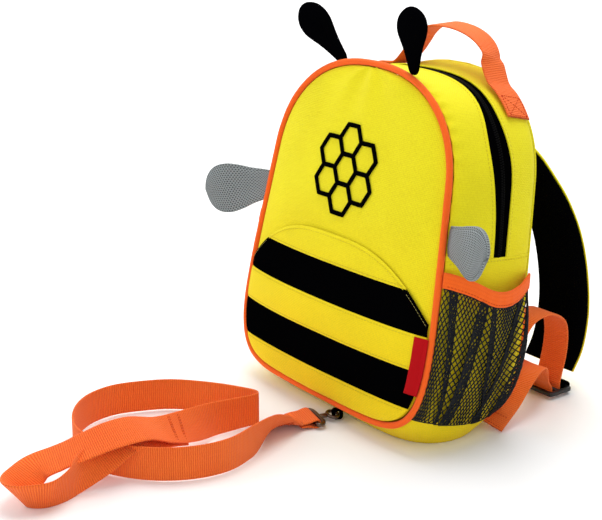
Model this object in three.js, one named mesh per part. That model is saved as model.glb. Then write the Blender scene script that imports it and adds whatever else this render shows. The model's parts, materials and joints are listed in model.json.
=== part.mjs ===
// Toddler harness backpack with bee stripes, antennae and wings, and its webbing tether
// Millimetres, +Z up, the front faces -Y, the origin is on the floor under the middle of the bag

import * as THREE from 'three';

// Bag body
const PANEL_HEIGHT = 255.5;
const PANEL_HALF_WIDTH = 100;
const SHOULDER_HEIGHT = 177.8;
const BASE_FLARE = 0.263;
const ARCH_POWER = 2.37;
const CORNER_POWER = 5.77;
const BAG_DEPTH = 94;
const FRONT_SETBACK = 10.5;
const REAR_NARROWING = 0.983;
const REAR_RISE = 1.029;
const LEAN_DEGREES = 8.74;
const FRONT_CROWN = 11;
const BACK_CROWN = 6;
const SIDE_BULGE = 7;
const TOP_BULGE = 4;
const BASE_SAG = 22;

// Cloth, seams and webbing
const CLOTH = 1.8;
const SEAM_GAP = 0.3;
const PIPING_DIAMETER = 5;
const WEBBING_WIDTH = 25;
const WEBBING_THICKNESS = 1.6;

// Zip
const ZIP_END_HEIGHT = 131;
const ZIP_FRONT = 0.5;
const ZIP_REAR = 0.65;

// Front pocket and its two stripes, heights on the front panel
const POCKET_ARCH_HEIGHT = 127.5;
const POCKET_ARCH_DROP = 41.5;
const POCKET_ARCH_POWER = 3;
const POCKET_EASE = 0.8;
const POCKET_BULGE = 2.2;
const UPPER_STRIPE_TOP = 105.5;
const UPPER_STRIPE_BOTTOM = 77;
const LOWER_STRIPE_TOP = 51;
const LOWER_STRIPE_BOTTOM = 22.5;

// Honeycomb patch on the front
const COMB_CELL = 22;
const COMB_STROKE = 3.4;
const COMB_THICKNESS = 1.2;
const COMB_HEIGHT = 176;

// Label folded into the right piping
const LABEL_WIDTH = 9;
const LABEL_HEIGHT = 42;
const LABEL_MIDDLE = 55;
const LABEL_THICKNESS = 1.2;

// Side pockets
const NET_THICKNESS = 1.2;
const NET_COLUMNS = 8;
const NET_ROWS = 6;
const NET_HOLE = 0.66;
const NET_LOW = 17;
const NET_STANDOFF = 1;
const NET_FULLNESS = 9;
const NET_GATHER = 1.3;
const BINDING_HEIGHT = 10;
const BINDING_THICKNESS = 2.4;

// Antennae and wings
const ANTENNA_SPACING = 84;
const ANTENNA_LENGTH = 49;
const ANTENNA_HEAD = 23;
const ANTENNA_NECK = 8.6;
const WING_LENGTH = 66;
const WING_ROOT = 26;
const WING_WIDTH = 42;
const WING_THICKNESS = 5;
const WING_HEIGHT = 145;

// Carry handle
const HANDLE_HALF_SPAN = 53;
const HANDLE_FOOT_HEIGHT = 253;
const HANDLE_PATCH = 21;
const HANDLE_RISE = 34;
const HANDLE_POWER = 2.2;

// Shoulder straps
const STRAP_WIDTH = 50;
const STRAP_THICKNESS = 10;
const STRAP_COVER = 1.4;
const STRAP_START_X = 34;
const STRAP_START_HEIGHT = 212;
const STRAP_SPREAD = 30;
const STRAP_REACH = 66;

// Strap buckles and their webbing
const BUCKLE_WIDTH = 34;
const BUCKLE_LENGTH = 25;
const BUCKLE_BAR = 3.5;
const BUCKLE_HEIGHT = 3.2;
const BUCKLE_LIFT = 2.8;
const BUCKLE_X = 76;
const BUCKLE_Y = 125;
const FRONT_SLOT = 6;
const TAIL_HEIGHT = 79;

// Snap hook and its tab
const HOOK_X = 12;
const HOOK_Y = -65.5;
const HOOK_TURN_DEGREES = 75;
const HOOK_LENGTH = 25;
const HOOK_THICKNESS = 3.2;
const HOOK_LIFT = 2.4;
const TAB_THICKNESS = 1.2;
const TAB_WIDTH = 6;

// Tether, from the hook to the hand loop
const TETHER_REACH = 300;

const RIGHT = 1;
const LEFT = -1;
const lean = THREE.MathUtils.degToRad(LEAN_DEGREES);
const pipingRadius = PIPING_DIAMETER / 2;
const seamClear = pipingRadius + SEAM_GAP;
const { lerp, clamp } = THREE.MathUtils;
const vec = (x, y, z) => new THREE.Vector3(x, y, z);
const steps = (count) => Array.from({ length: count + 1 }, (_, i) => i / count);

// The bag leans back on its rear bottom edge, and the base cloth lies flat on the floor
function stand(point, floor = 0) {
  const y = point.y * Math.cos(lean) + point.z * Math.sin(lean);
  const z = -point.y * Math.sin(lean) + point.z * Math.cos(lean) + (BAG_DEPTH / 2) * Math.sin(lean);
  return vec(point.x, y, Math.max(z, floor));
}

// Half the width of the front panel at a height above its bottom seam
function halfWidth(height) {
  const v = clamp(height, 0.2, PANEL_HEIGHT - 0.2);
  const above = v > SHOULDER_HEIGHT;
  const share = above ? (v - SHOULDER_HEIGHT) / (PANEL_HEIGHT - SHOULDER_HEIGHT) : 1 - v / SHOULDER_HEIGHT;
  const power = above ? ARCH_POWER : CORNER_POWER;
  const flare = 1 - BASE_FLARE * (v - SHOULDER_HEIGHT) / PANEL_HEIGHT;
  return PANEL_HALF_WIDTH * flare * (1 - share ** power) ** (1 / power);
}

// The front seam as a closed curve, walked by share of its length from the bottom centre
function outlineAt(turn) {
  const angle = turn * 2 * Math.PI - Math.PI / 2;
  const across = Math.cos(angle);
  const up = Math.sin(angle);
  const power = up >= 0 ? ARCH_POWER : CORNER_POWER;
  const radius = (Math.abs(across) ** power + Math.abs(up) ** power) ** (-1 / power);
  const reach = up >= 0 ? PANEL_HEIGHT - SHOULDER_HEIGHT : SHOULDER_HEIGHT;
  const v = SHOULDER_HEIGHT + reach * radius * up;
  const flare = 1 - BASE_FLARE * (v - SHOULDER_HEIGHT) / PANEL_HEIGHT;
  return { u: PANEL_HALF_WIDTH * flare * radius * across, v };
}

const WALK_STEPS = 2880;
const walked = [0];
for (let i = 1; i <= WALK_STEPS; i++) {
  const a = outlineAt((i - 1) / WALK_STEPS);
  const b = outlineAt(i / WALK_STEPS);
  walked.push(walked[i - 1] + Math.hypot(b.u - a.u, b.v - a.v));
}
const seamLength = walked[WALK_STEPS];

function turnAt(share) {
  const wrapped = share - Math.floor(share);
  const target = wrapped * seamLength;
  let low = 0;
  let high = WALK_STEPS;
  while (high - low > 1) {
    const middle = (low + high) >> 1;
    if (walked[middle] <= target) low = middle;
    else high = middle;
  }
  return (low + (target - walked[low]) / (walked[high] - walked[low])) / WALK_STEPS;
}

function seamAt(share) {
  const turn = turnAt(share);
  const here = outlineAt(turn);
  const before = outlineAt(turn - 0.002);
  const after = outlineAt(turn + 0.002);
  const length = Math.hypot(after.u - before.u, after.v - before.v);
  return { ...here, nu: (after.v - before.v) / length, nv: -(after.u - before.u) / length };
}

// Share of the seam's length at a height on the right side
function shareAtHeight(height) {
  let low = 0;
  let high = 0.5;
  for (let i = 0; i < 40; i++) {
    const middle = (low + high) / 2;
    if (seamAt(middle).v < height) low = middle;
    else high = middle;
  }
  return (low + high) / 2;
}

const seamY = (height) => -BAG_DEPTH / 2 + FRONT_SETBACK * height / PANEL_HEIGHT;

// The gusset between the front seam, depth 0, and the rear seam, depth 1
function gussetPoint(share, depth) {
  const seam = seamAt(share);
  const middle = Math.max(Math.sin(Math.PI * depth), 0);
  const side = SIDE_BULGE * seam.nu ** 2 * middle ** 0.6;
  const top = TOP_BULGE * Math.max(seam.nv, 0) ** 2 * middle ** 0.6;
  const sag = BASE_SAG * Math.max(-seam.nv, 0) ** 2 * middle;
  const bulge = side + top + sag;
  return vec(
    seam.u * lerp(1, REAR_NARROWING, depth) + seam.nu * bulge,
    lerp(seamY(seam.v), BAG_DEPTH / 2, depth),
    seam.v * lerp(1, REAR_RISE, depth) + seam.nv * bulge,
  );
}

function gussetNormal(share, depth) {
  const a = gussetPoint(share - 0.003, depth);
  const b = gussetPoint(share + 0.003, depth);
  const c = gussetPoint(share, Math.max(depth - 0.02, 0));
  const d = gussetPoint(share, Math.min(depth + 0.02, 1));
  const normal = b.sub(a).cross(d.sub(c)).normalize();
  const seam = seamAt(share);
  return normal.dot(vec(seam.nu, 0, seam.nv)) < 0 ? normal.negate() : normal;
}

function gussetAt(share, depth, lift = 0) {
  return gussetPoint(share, depth).addScaledVector(gussetNormal(share, depth), lift);
}

const depthAfterPiping = (share) => seamClear / (BAG_DEPTH / 2 - seamY(seamAt(share).v));
const depthShare = (length) => length / BAG_DEPTH;

// The front face: across runs from -1 at the left seam to 1 at the right seam
const faceShrink = 1 - seamClear / (PANEL_HEIGHT / 2);

function faceHalfWidth(height) {
  const full = PANEL_HEIGHT / 2 + (height - PANEL_HEIGHT / 2) / faceShrink;
  return halfWidth(full) * (1 - seamClear / PANEL_HALF_WIDTH);
}

function crownAt(across, height, crown) {
  const side = 1 - Math.min(Math.abs(across), 1) ** 2.4;
  const end = 1 - Math.min(Math.abs(height / PANEL_HEIGHT * 2 - 1), 1) ** 3;
  return crown * side ** 0.7 * end ** 0.7;
}

function facePoint(across, height, lift = 0) {
  const y = seamY(height) - crownAt(across, height, FRONT_CROWN) - lift;
  return vec(across * faceHalfWidth(height), y, height);
}

const faceHeight = (share) => lerp(seamClear, PANEL_HEIGHT - seamClear, share);

// A closed body from points and triangles, turned to face outwards
function closedGeometry(points, triangles) {
  let volume = 0;
  for (let i = 0; i < triangles.length; i += 3) {
    const [a, b, c] = [0, 1, 2].map((k) => points[triangles[i + k]]);
    volume += a.dot(b.clone().cross(c));
  }
  const faces = volume < 0 ? triangles.slice().reverse() : triangles;
  const geometry = new THREE.BufferGeometry().setFromPoints(points);
  geometry.setIndex(faces);
  geometry.computeVertexNormals();
  return geometry;
}

// A wall between an outer and an inner sheet of points, in rows; a ring joins its last column to the first
function wall(outer, inner, ring = false) {
  const rows = outer.length;
  const columns = outer[0].length;
  const points = [...outer.flat(), ...inner.flat()];
  const triangles = [];
  const at = (side, row, column) => side * rows * columns + row * columns + (column % columns);
  const quad = (a, b, c, d) => triangles.push(a, b, c, a, c, d);
  const spans = ring ? columns : columns - 1;
  for (let c = 0; c < spans; c++) {
    for (let r = 0; r < rows - 1; r++) {
      quad(at(0, r, c), at(0, r, c + 1), at(0, r + 1, c + 1), at(0, r + 1, c));
      quad(at(1, r, c), at(1, r + 1, c), at(1, r + 1, c + 1), at(1, r, c + 1));
    }
    quad(at(0, 0, c), at(1, 0, c), at(1, 0, c + 1), at(0, 0, c + 1));
    quad(at(0, rows - 1, c), at(0, rows - 1, c + 1), at(1, rows - 1, c + 1), at(1, rows - 1, c));
  }
  if (!ring) {
    for (let r = 0; r < rows - 1; r++) {
      quad(at(0, r, 0), at(0, r + 1, 0), at(1, r + 1, 0), at(1, r, 0));
      quad(at(0, r, columns - 1), at(1, r, columns - 1), at(1, r + 1, columns - 1), at(0, r + 1, columns - 1));
    }
  }
  return closedGeometry(points, triangles);
}

// A wall of the gusset between two shares of the seam and two depths, each depth a function of the share
function gussetWall({ from, to, columns, front, rear, rows, thickness = CLOTH, lift = 0 }) {
  const sheet = (offset, floor) => steps(rows).map((r) => steps(columns).map((c) => {
    const share = lerp(from, to, c);
    return stand(gussetAt(share, lerp(front(share), rear(share), r), offset), floor);
  }));
  return wall(sheet(lift, 0), sheet(lift - thickness, thickness));
}

// A layer of cloth on the front face between two heights, each a function of the place across
const FACE_COLUMNS = [-1, -0.94, -0.82, -0.64, -0.44, -0.22, 0, 0.22, 0.44, 0.64, 0.82, 0.94, 1];

function faceLayer({ low, high, rowShares, columns = FACE_COLUMNS, lift, thickness = CLOTH }) {
  const sheet = (offset) => rowShares.map((r) => columns.map((across) => {
    const height = lerp(low(across), high(across), r);
    return stand(facePoint(across, height, lift(across, height) + offset));
  }));
  return wall(sheet(0), sheet(-thickness));
}

// A flat band along a path of centres, each with the direction of its width
function band(centres, widthways, width, thickness) {
  const last = centres.length - 1;
  const rows = { outer: [[], []], inner: [[], []] };
  centres.forEach((centre, i) => {
    const ahead = centres[Math.min(i + 1, last)].clone().sub(centres[Math.max(i - 1, 0)]).normalize();
    const across = widthways[i].clone().addScaledVector(ahead, -widthways[i].dot(ahead)).normalize();
    const normal = ahead.clone().cross(across).normalize();
    [0.5, -0.5].forEach((side, row) => {
      const edge = centre.clone().addScaledVector(across, side * width);
      rows.outer[row].push(edge.clone().addScaledVector(normal, thickness / 2));
      rows.inner[row].push(edge.clone().addScaledVector(normal, -thickness / 2));
    });
  });
  return wall(rows.outer, rows.inner);
}

const smoothPath = (points, count) => new THREE.CatmullRomCurve3(points, false, 'centripetal').getPoints(count);

// Each mesh has its own material
const finishes = {
  yellow: { color: 0xf0e018, roughness: 0.9, metalness: 0 },
  black: { color: 0x0a0a0c, roughness: 0.95, metalness: 0 },
  orange: { color: 0xfa5a1e, roughness: 0.85, metalness: 0 },
  grey: { color: 0x8c9496, roughness: 0.9, metalness: 0 },
  net: { color: 0x14181c, roughness: 0.8, metalness: 0 },
  red: { color: 0xbe0a10, roughness: 0.8, metalness: 0 },
  plastic: { color: 0x101012, roughness: 0.4, metalness: 0 },
  metal: { color: 0x6a6258, roughness: 0.3, metalness: 0.9 },
};

const backpack = new THREE.Group();

function addPiece(name, geometry, finish, parent = backpack) {
  const mesh = new THREE.Mesh(geometry, new THREE.MeshStandardMaterial(finishes[finish]));
  mesh.name = name;
  parent.add(mesh);
  return mesh;
}

// Front panel, whole behind the pocket
const PANEL_ROWS = [0, 0.006, 0.018, 0.04, 0.08, 0.16, 0.28, 0.4, 0.52, 0.64, 0.75, 0.84, 0.91, 0.96, 0.987, 1];

function addFrontPanel() {
  const low = () => faceHeight(0);
  const high = () => faceHeight(1);
  addPiece('front_panel', faceLayer({ low, high, rowShares: PANEL_ROWS, lift: () => 0 }), 'yellow');
}

// The front pocket is one layer of five strips sewn edge to edge: yellow, black, yellow, black, yellow
const pocketArch = (across) => POCKET_ARCH_HEIGHT - POCKET_ARCH_DROP * Math.abs(across) ** POCKET_ARCH_POWER;
const pocketLift = (across, height) => {
  const side = Math.max(1 - across ** 2, 0);
  const up = Math.max(Math.sin(Math.PI * clamp(height / pocketArch(across), 0, 1)), 0);
  return CLOTH + POCKET_EASE + POCKET_BULGE * side * up;
};

function addFrontPocket() {
  const half = SEAM_GAP / 2;
  const archEnd = ((POCKET_ARCH_HEIGHT - UPPER_STRIPE_TOP) / POCKET_ARCH_DROP) ** (1 / POCKET_ARCH_POWER) * 0.97;
  const strips = [
    { name: 'pocket_top', low: () => UPPER_STRIPE_TOP + half, high: pocketArch, finish: 'yellow',
      columns: steps(10).map((s) => (2 * s - 1) * archEnd), rowShares: [0, 0.5, 1] },
    { name: 'stripe_upper', low: () => UPPER_STRIPE_BOTTOM + half, finish: 'black',
      high: (across) => Math.min(UPPER_STRIPE_TOP - half, pocketArch(across)), rowShares: [0, 0.5, 1] },
    { name: 'pocket_middle', low: () => LOWER_STRIPE_TOP + half, finish: 'yellow',
      high: () => UPPER_STRIPE_BOTTOM - half, rowShares: [0, 0.5, 1] },
    { name: 'stripe_lower', low: () => LOWER_STRIPE_BOTTOM + half, finish: 'black',
      high: () => LOWER_STRIPE_TOP - half, rowShares: [0, 0.5, 1] },
    { name: 'pocket_bottom', low: () => faceHeight(0), finish: 'yellow',
      high: () => LOWER_STRIPE_BOTTOM - half, rowShares: [0, 0.07, 0.22, 0.5, 1] },
  ];
  for (const { name, finish, ...strip } of strips) {
    addPiece(name, faceLayer({ ...strip, lift: pocketLift }), finish);
  }
}

// Piping all round the front seam
function addPiping() {
  const around = 64;
  const sides = 6;
  const ring = (angle) => steps(around).slice(0, around).map((share) => {
    const seam = seamAt(share);
    const out = pipingRadius * Math.cos(angle);
    return stand(vec(seam.u + seam.nu * out, seamY(seam.v) + pipingRadius * Math.sin(angle), seam.v + seam.nv * out));
  });
  const rings = steps(sides).slice(0, sides).map((s) => ring(s * 2 * Math.PI));
  const points = rings.flat();
  const triangles = [];
  for (let s = 0; s < sides; s++) {
    for (let a = 0; a < around; a++) {
      const next = ((s + 1) % sides) * around;
      const [p, q, r, t] = [s * around + a, s * around + (a + 1) % around, next + (a + 1) % around, next + a];
      triangles.push(p, q, r, p, r, t);
    }
  }
  addPiece('front_piping', closedGeometry(points, triangles), 'orange');
}

// The arch of the gusset: two yellow strips with the zip between, and one panel down the sides and under the base
const zipEndShare = shareAtHeight(ZIP_END_HEIGHT);

function addGusset() {
  const endGap = SEAM_GAP / seamLength;
  const arch = { from: zipEndShare + endGap, to: 1 - zipEndShare - endGap, columns: 34 };
  const gap = depthShare(SEAM_GAP);
  addPiece('gusset_front_strip', gussetWall({
    ...arch, rows: 3, front: depthAfterPiping, rear: () => ZIP_FRONT - gap,
  }), 'yellow');
  addPiece('zip', gussetWall({ ...arch, rows: 1, front: () => ZIP_FRONT, rear: () => ZIP_REAR }), 'black');
  addPiece('gusset_rear_strip', gussetWall({
    ...arch, rows: 3, front: () => ZIP_REAR + gap, rear: () => 1,
  }), 'yellow');
  addPiece('base_gusset', gussetWall({
    from: -zipEndShare, to: zipEndShare, columns: 42, rows: 7, front: depthAfterPiping, rear: () => 1,
  }), 'yellow');
}

// Zip slider, parked at the left end of the zip
function addZipSlider() {
  const share = 1 - shareAtHeight(ZIP_END_HEIGHT + 10);
  const depth = (ZIP_FRONT + ZIP_REAR) / 2;
  const size = { height: 12, depth: 9, lift: 3 };
  const corner = (h, d, l) => {
    const offset = vec(0, d * size.depth / 2, h * size.height / 2);
    return stand(gussetAt(share, depth, SEAM_GAP + l).add(offset));
  };
  const sheet = (lift) => [-1, 1].map((h) => [-1, 1].map((d) => corner(h, d, lift)));
  addPiece('zip_slider', wall(sheet(size.lift), sheet(0.4)), 'plastic');
}

// Back panel, sewn behind the rear seam
function addBackPanel() {
  const rowShares = [0, 0.006, 0.02, 0.05, 0.12, 0.28, 0.46, 0.62, 0.76, 0.87, 0.94, 0.98, 1];
  const columns = [-1, -0.92, -0.72, -0.4, 0, 0.4, 0.72, 0.92, 1];
  const sheet = (lift) => rowShares.map((r) => columns.map((across) => {
    const height = r * PANEL_HEIGHT;
    const y = BAG_DEPTH / 2 + SEAM_GAP + lift + crownAt(across, height, BACK_CROWN);
    return stand(vec(across * halfWidth(height) * REAR_NARROWING, y, height * REAR_RISE));
  }));
  addPiece('back_panel', wall(sheet(CLOTH), sheet(0)), 'yellow');
}

const backSurface = (x, height) => {
  const across = x / (halfWidth(height / REAR_RISE) * REAR_NARROWING);
  return vec(x, BAG_DEPTH / 2 + SEAM_GAP + CLOTH + crownAt(across, height / REAR_RISE, BACK_CROWN), height);
};

// Honeycomb patch: seven open six-sided cells, laid on the crowned front
function addHoneycomb() {
  const apothem = COMB_CELL / 2;
  const radius = apothem / Math.cos(Math.PI / 6);
  const corner = (cx, cy, r, k) => [cx + r * Math.cos(k * Math.PI / 3), cy + r * Math.sin(k * Math.PI / 3)];
  const hexagon = (cx, cy, r) => steps(5).map((_, k) => new THREE.Vector2(...corner(cx, cy, r, k)));
  const centres = [[0, 0]];
  for (let k = 0; k < 6; k++) {
    const angle = Math.PI / 6 + k * Math.PI / 3;
    centres.push([COMB_CELL * Math.cos(angle), COMB_CELL * Math.sin(angle)]);
  }
  const rim = [];
  for (let k = 0; k < 6; k++) {
    const [cx, cy] = centres[k + 1];
    for (const turn of [-1, 0, 1, 2]) rim.push(new THREE.Vector2(...corner(cx, cy, radius, k + turn)));
  }
  const outline = rim.filter((p, i) => p.distanceTo(rim[(i + 1) % rim.length]) > 0.01);
  const shape = new THREE.Shape(outline);
  const hole = radius - COMB_STROKE / 2 / Math.cos(Math.PI / 6);
  shape.holes = centres.map(([cx, cy]) => new THREE.Path(hexagon(cx, cy, hole)));
  const geometry = new THREE.ExtrudeGeometry(shape, { depth: COMB_THICKNESS, bevelEnabled: false });
  const place = geometry.attributes.position;
  for (let i = 0; i < place.count; i++) {
    const height = COMB_HEIGHT + place.getY(i);
    const across = place.getX(i) / faceHalfWidth(height);
    const point = stand(facePoint(across, height, 0.6 + place.getZ(i)));
    place.setXYZ(i, point.x, point.y, point.z);
  }
  geometry.computeVertexNormals();
  addPiece('honeycomb_patch', geometry, 'black');
}

// Bare label, folded into the right piping and lying on the pocket
function addLabel() {
  const sheet = (lift) => steps(4).map((r) => steps(1).map((c) => {
    const height = LABEL_MIDDLE + (r - 0.5) * LABEL_HEIGHT;
    const across = 1 - (1 - c) * LABEL_WIDTH / faceHalfWidth(height);
    return stand(facePoint(across, height, pocketLift(across, height) + 0.7 + lift));
  }));
  addPiece('side_label', wall(sheet(LABEL_THICKNESS), sheet(0)), 'red');
}

// Side pockets of coarse net, gathered, with a bound mouth
const MOUTH = [
  { depth: 0, height: 123.5 }, { depth: 0.2, height: 119 }, { depth: 0.46, height: 110.5 },
  { depth: 0.62, height: 110 }, { depth: 0.78, height: 113.5 }, { depth: 0.91, height: 119.5 }, { depth: 1, height: 125 },
];

function mouthHeight(depth) {
  const k = MOUTH.findIndex((point) => point.depth >= depth);
  if (k <= 0) return MOUTH[Math.max(k, 0)].height;
  const [a, b] = [MOUTH[k - 1], MOUTH[k]];
  return lerp(a.height, b.height, (depth - a.depth) / (b.depth - a.depth));
}

function pocketPoint(side, along, up, lift) {
  const depth = lerp(depthAfterPiping(shareAtHeight(NET_LOW)) + 0.01, 0.985, along);
  const rise = clamp(up, 0, 1);
  const top = mouthHeight(along) - BINDING_HEIGHT;
  const height = lerp(NET_LOW, top, up);
  const share = shareAtHeight(height);
  const full = NET_FULLNESS * Math.sin(Math.PI * depth) ** 0.8 * rise ** 1.1;
  const gather = NET_GATHER * (1 - 0.5 * rise) * Math.sin(Math.PI * depth) * Math.cos(NET_COLUMNS * Math.PI * along);
  const point = gussetAt(side === RIGHT ? share : 1 - share, depth, NET_STANDOFF + full + gather + lift);
  return stand(point, 0.3);
}

function addSidePocket(side, name) {
  const at = (c, r, lift) => pocketPoint(side, c / NET_COLUMNS, r / NET_ROWS, lift);
  const points = [];
  const triangles = [];
  const index = new Map();
  const point = (c, r, layer) => {
    const key = `${c},${r},${layer}`;
    if (!index.has(key)) {
      index.set(key, points.length);
      points.push(at(c, r, layer * NET_THICKNESS));
    }
    return index.get(key);
  };
  const quad = (a, b, c, d) => triangles.push(a, b, c, a, c, d);
  for (let c = 0; c < NET_COLUMNS; c++) {
    for (let r = 0; r < NET_ROWS; r++) {
      const reach = NET_HOLE / 2;
      const square = [[c, r], [c + 1, r], [c + 1, r + 1], [c, r + 1]];
      const [x, y] = [c + 0.5, r + 0.5];
      const diamond = [[x, y - reach], [x + reach, y], [x, y + reach], [x - reach, y]];
      for (let k = 0; k < 4; k++) {
        const next = (k + 1) % 4;
        for (const layer of [1, 0]) {
          const [a, b, p, q] = [square[k], square[next], diamond[k], diamond[next]].map((s) => point(...s, layer));
          if (layer) triangles.push(a, b, p, b, q, p);
          else triangles.push(a, p, b, b, p, q);
        }
        const [p, q] = [diamond[k], diamond[next]];
        quad(point(...p, 1), point(...q, 1), point(...q, 0), point(...p, 0));
      }
    }
  }
  const rim = (a, b) => quad(point(...b, 1), point(...a, 1), point(...a, 0), point(...b, 0));
  for (let c = 0; c < NET_COLUMNS; c++) {
    rim([c, 0], [c + 1, 0]);
    rim([c + 1, NET_ROWS], [c, NET_ROWS]);
  }
  for (let r = 0; r < NET_ROWS; r++) {
    rim([NET_COLUMNS, r], [NET_COLUMNS, r + 1]);
    rim([0, r + 1], [0, r]);
  }
  addPiece(`side_net_${name}`, closedGeometry(points, triangles), 'net');

  const sheet = (lift) => [0, 0.5, 1].map((r) => steps(NET_COLUMNS).map((along) => {
    const netHeight = mouthHeight(along) - BINDING_HEIGHT - NET_LOW;
    return pocketPoint(side, along, 1 + (SEAM_GAP + r * BINDING_HEIGHT) / netHeight, lift);
  }));
  const middle = NET_THICKNESS / 2;
  addPiece(`pocket_binding_${name}`,
    wall(sheet(middle + BINDING_THICKNESS / 2), sheet(middle - BINDING_THICKNESS / 2)), 'orange');
}

// Antennae: stuffed clubs sewn behind the piping, leaning out and forward
const ANTENNA_PROFILE = [
  { up: 0, out: 0 }, { up: 0.04, out: 0.26 }, { up: 0.14, out: 0.5 }, { up: 0.3, out: 0.5 }, { up: 0.46, out: 0.66 },
  { up: 0.6, out: 1.05 }, { up: 0.74, out: 1.33 }, { up: 0.87, out: 1.18 }, { up: 0.96, out: 0.72 }, { up: 1, out: 0 },
];

function antennaRadius(out) {
  const head = ANTENNA_HEAD / 2 / 1.33;
  const neck = ANTENNA_NECK / 2 / 0.5;
  return out * (out > 0.6 ? head : neck);
}

function addAntenna(side, name, leanOut, leanForward) {
  const share = nearestTopShare(side * ANTENNA_SPACING / 2);
  const root = stand(gussetAt(share, 0.062, SEAM_GAP));
  const axis = vec(side * leanOut, -leanForward, 1).normalize();
  const profile = ANTENNA_PROFILE.map(({ up, out }) => new THREE.Vector2(antennaRadius(out), up * ANTENNA_LENGTH));
  const mesh = addPiece(`antenna_${name}`, new THREE.LatheGeometry(profile, 10), 'black');
  mesh.position.copy(root);
  mesh.quaternion.setFromUnitVectors(vec(0, 1, 0), axis);
}

function nearestTopShare(x) {
  let low = 0.25;
  let high = 0.5;
  for (let i = 0; i < 40; i++) {
    const middle = (low + high) / 2;
    if (seamAt(middle).u > Math.abs(x)) low = middle;
    else high = middle;
  }
  return x > 0 ? low : 1 - low;
}

// Wings: thin padded teardrops sewn into the side seams behind the piping
const WING_OUTLINE = [
  { along: 0, half: 1 }, { along: 0.12, half: 1.04 }, { along: 0.3, half: 1.28 }, { along: 0.48, half: 1.52 },
  { along: 0.66, half: 1.615 }, { along: 0.8, half: 1.45 }, { along: 0.9, half: 1.12 }, { along: 0.97, half: 0.66 },
  { along: 1, half: 0.26 },
];

function wingHalf(half) {
  const widest = 1.615;
  const widening = (WING_WIDTH - WING_ROOT) / 2 / (widest - 1);
  return half >= 1 ? WING_ROOT / 2 + (half - 1) * widening : half * WING_ROOT / 2;
}

function addWing(side, name, droop) {
  const share = shareAtHeight(WING_HEIGHT);
  const root = stand(gussetAt(side === RIGHT ? share : 1 - share, 0.075, 0.5));
  const along = vec(side, -0.35, droop).normalize();
  const up = vec(0, Math.sin(lean), Math.cos(lean));
  up.addScaledVector(along, -up.dot(along)).normalize();
  const out = along.clone().cross(up).normalize();
  const ribs = [-1, -0.7, 0, 0.7, 1];
  const sheet = (face) => WING_OUTLINE.map(({ along: share, half }) => ribs.map((rib) => {
    const padded = 0.2 + 0.8 * (1 - rib ** 2) * Math.sin(Math.PI * clamp(share, 0.12, 0.93));
    const sewn = shareAtHeight(WING_HEIGHT + rib * wingHalf(half));
    const base = share > 0 ? root.clone().addScaledVector(up, rib * wingHalf(half))
      : stand(gussetAt(side === RIGHT ? sewn : 1 - sewn, 0.075, 0.5));
    return base.addScaledVector(along, share * WING_LENGTH).addScaledVector(out, face * padded * WING_THICKNESS / 2);
  }));
  addPiece(`wing_${name}`, wall(sheet(1), sheet(-1)), 'grey');
}

// Carry handle: webbing over the top, its two feet sewn on the rear strip
function addHandle() {
  const depth = (ZIP_REAR + 1) / 2 + 0.01;
  const lift = WEBBING_THICKNESS / 2 + SEAM_GAP;
  const centres = [];
  const patchFrom = shareAtHeight((HANDLE_FOOT_HEIGHT - HANDLE_PATCH) / REAR_RISE);
  const patchTo = shareAtHeight(HANDLE_FOOT_HEIGHT / REAR_RISE);
  const patch = steps(3).map((s) => gussetAt(lerp(patchFrom, patchTo, s), depth, lift + s * 0.6));
  const foot = patch[patch.length - 1];
  const arch = steps(14).slice(1, 14).map((s) => {
    const angle = Math.PI * s;
    const [c, h] = [Math.cos(angle), Math.sin(angle)];
    const radius = (Math.abs(c) ** HANDLE_POWER + h ** HANDLE_POWER) ** (-1 / HANDLE_POWER);
    return vec(HANDLE_HALF_SPAN * radius * c, foot.y, foot.z + 6 + (HANDLE_RISE - 6) * radius * h);
  });
  const mirrored = (points) => points.map((p) => vec(-p.x, p.y, p.z)).reverse();
  centres.push(...patch, ...arch, ...mirrored(patch));
  const rearward = vec(0, Math.cos(lean), -Math.sin(lean));
  const standing = centres.map((p) => stand(p));
  const patchAcross = (share) => stand(gussetAt(share, depth + 0.1)).sub(stand(gussetAt(share, depth - 0.1))).normalize();
  const footAcross = steps(3).map((s) => patchAcross(lerp(patchFrom, patchTo, s)));
  const flip = (across) => vec(-across.x, across.y, across.z);
  const widthways = [...footAcross, ...arch.map(() => rearward), ...footAcross.map(flip).reverse()];
  addPiece('carry_handle', band(standing, widthways, WEBBING_WIDTH, WEBBING_THICKNESS), 'orange');
}

// Shoulder straps: from the top of the back, out and down to their buckles on the floor
// Shares: side of the spread, back of the reach, up of the start height, pad of the thickness
const STRAP_ROUTE = [
  { side: 0, back: 0, up: 1, pad: 0.2 }, { side: 0, back: 0.07, up: 0.99, pad: 0.5 },
  { side: 0.14, back: 0.36, up: 0.93, pad: 0.85 }, { side: 0.45, back: 0.62, up: 0.805, pad: 1 },
  { side: 0.7, back: 0.77, up: 0.7, pad: 1 }, { side: 0.88, back: 0.88, up: 0.585, pad: 1 },
  { side: 0.98, back: 0.97, up: 0.43, pad: 1 }, { side: 1, back: 1, up: 0.29, pad: 1 },
  { side: 1, back: 0.93, up: 0.16, pad: 0.9 }, { side: 1, back: 0.8, up: 0.085, pad: 0.45 },
];

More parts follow.
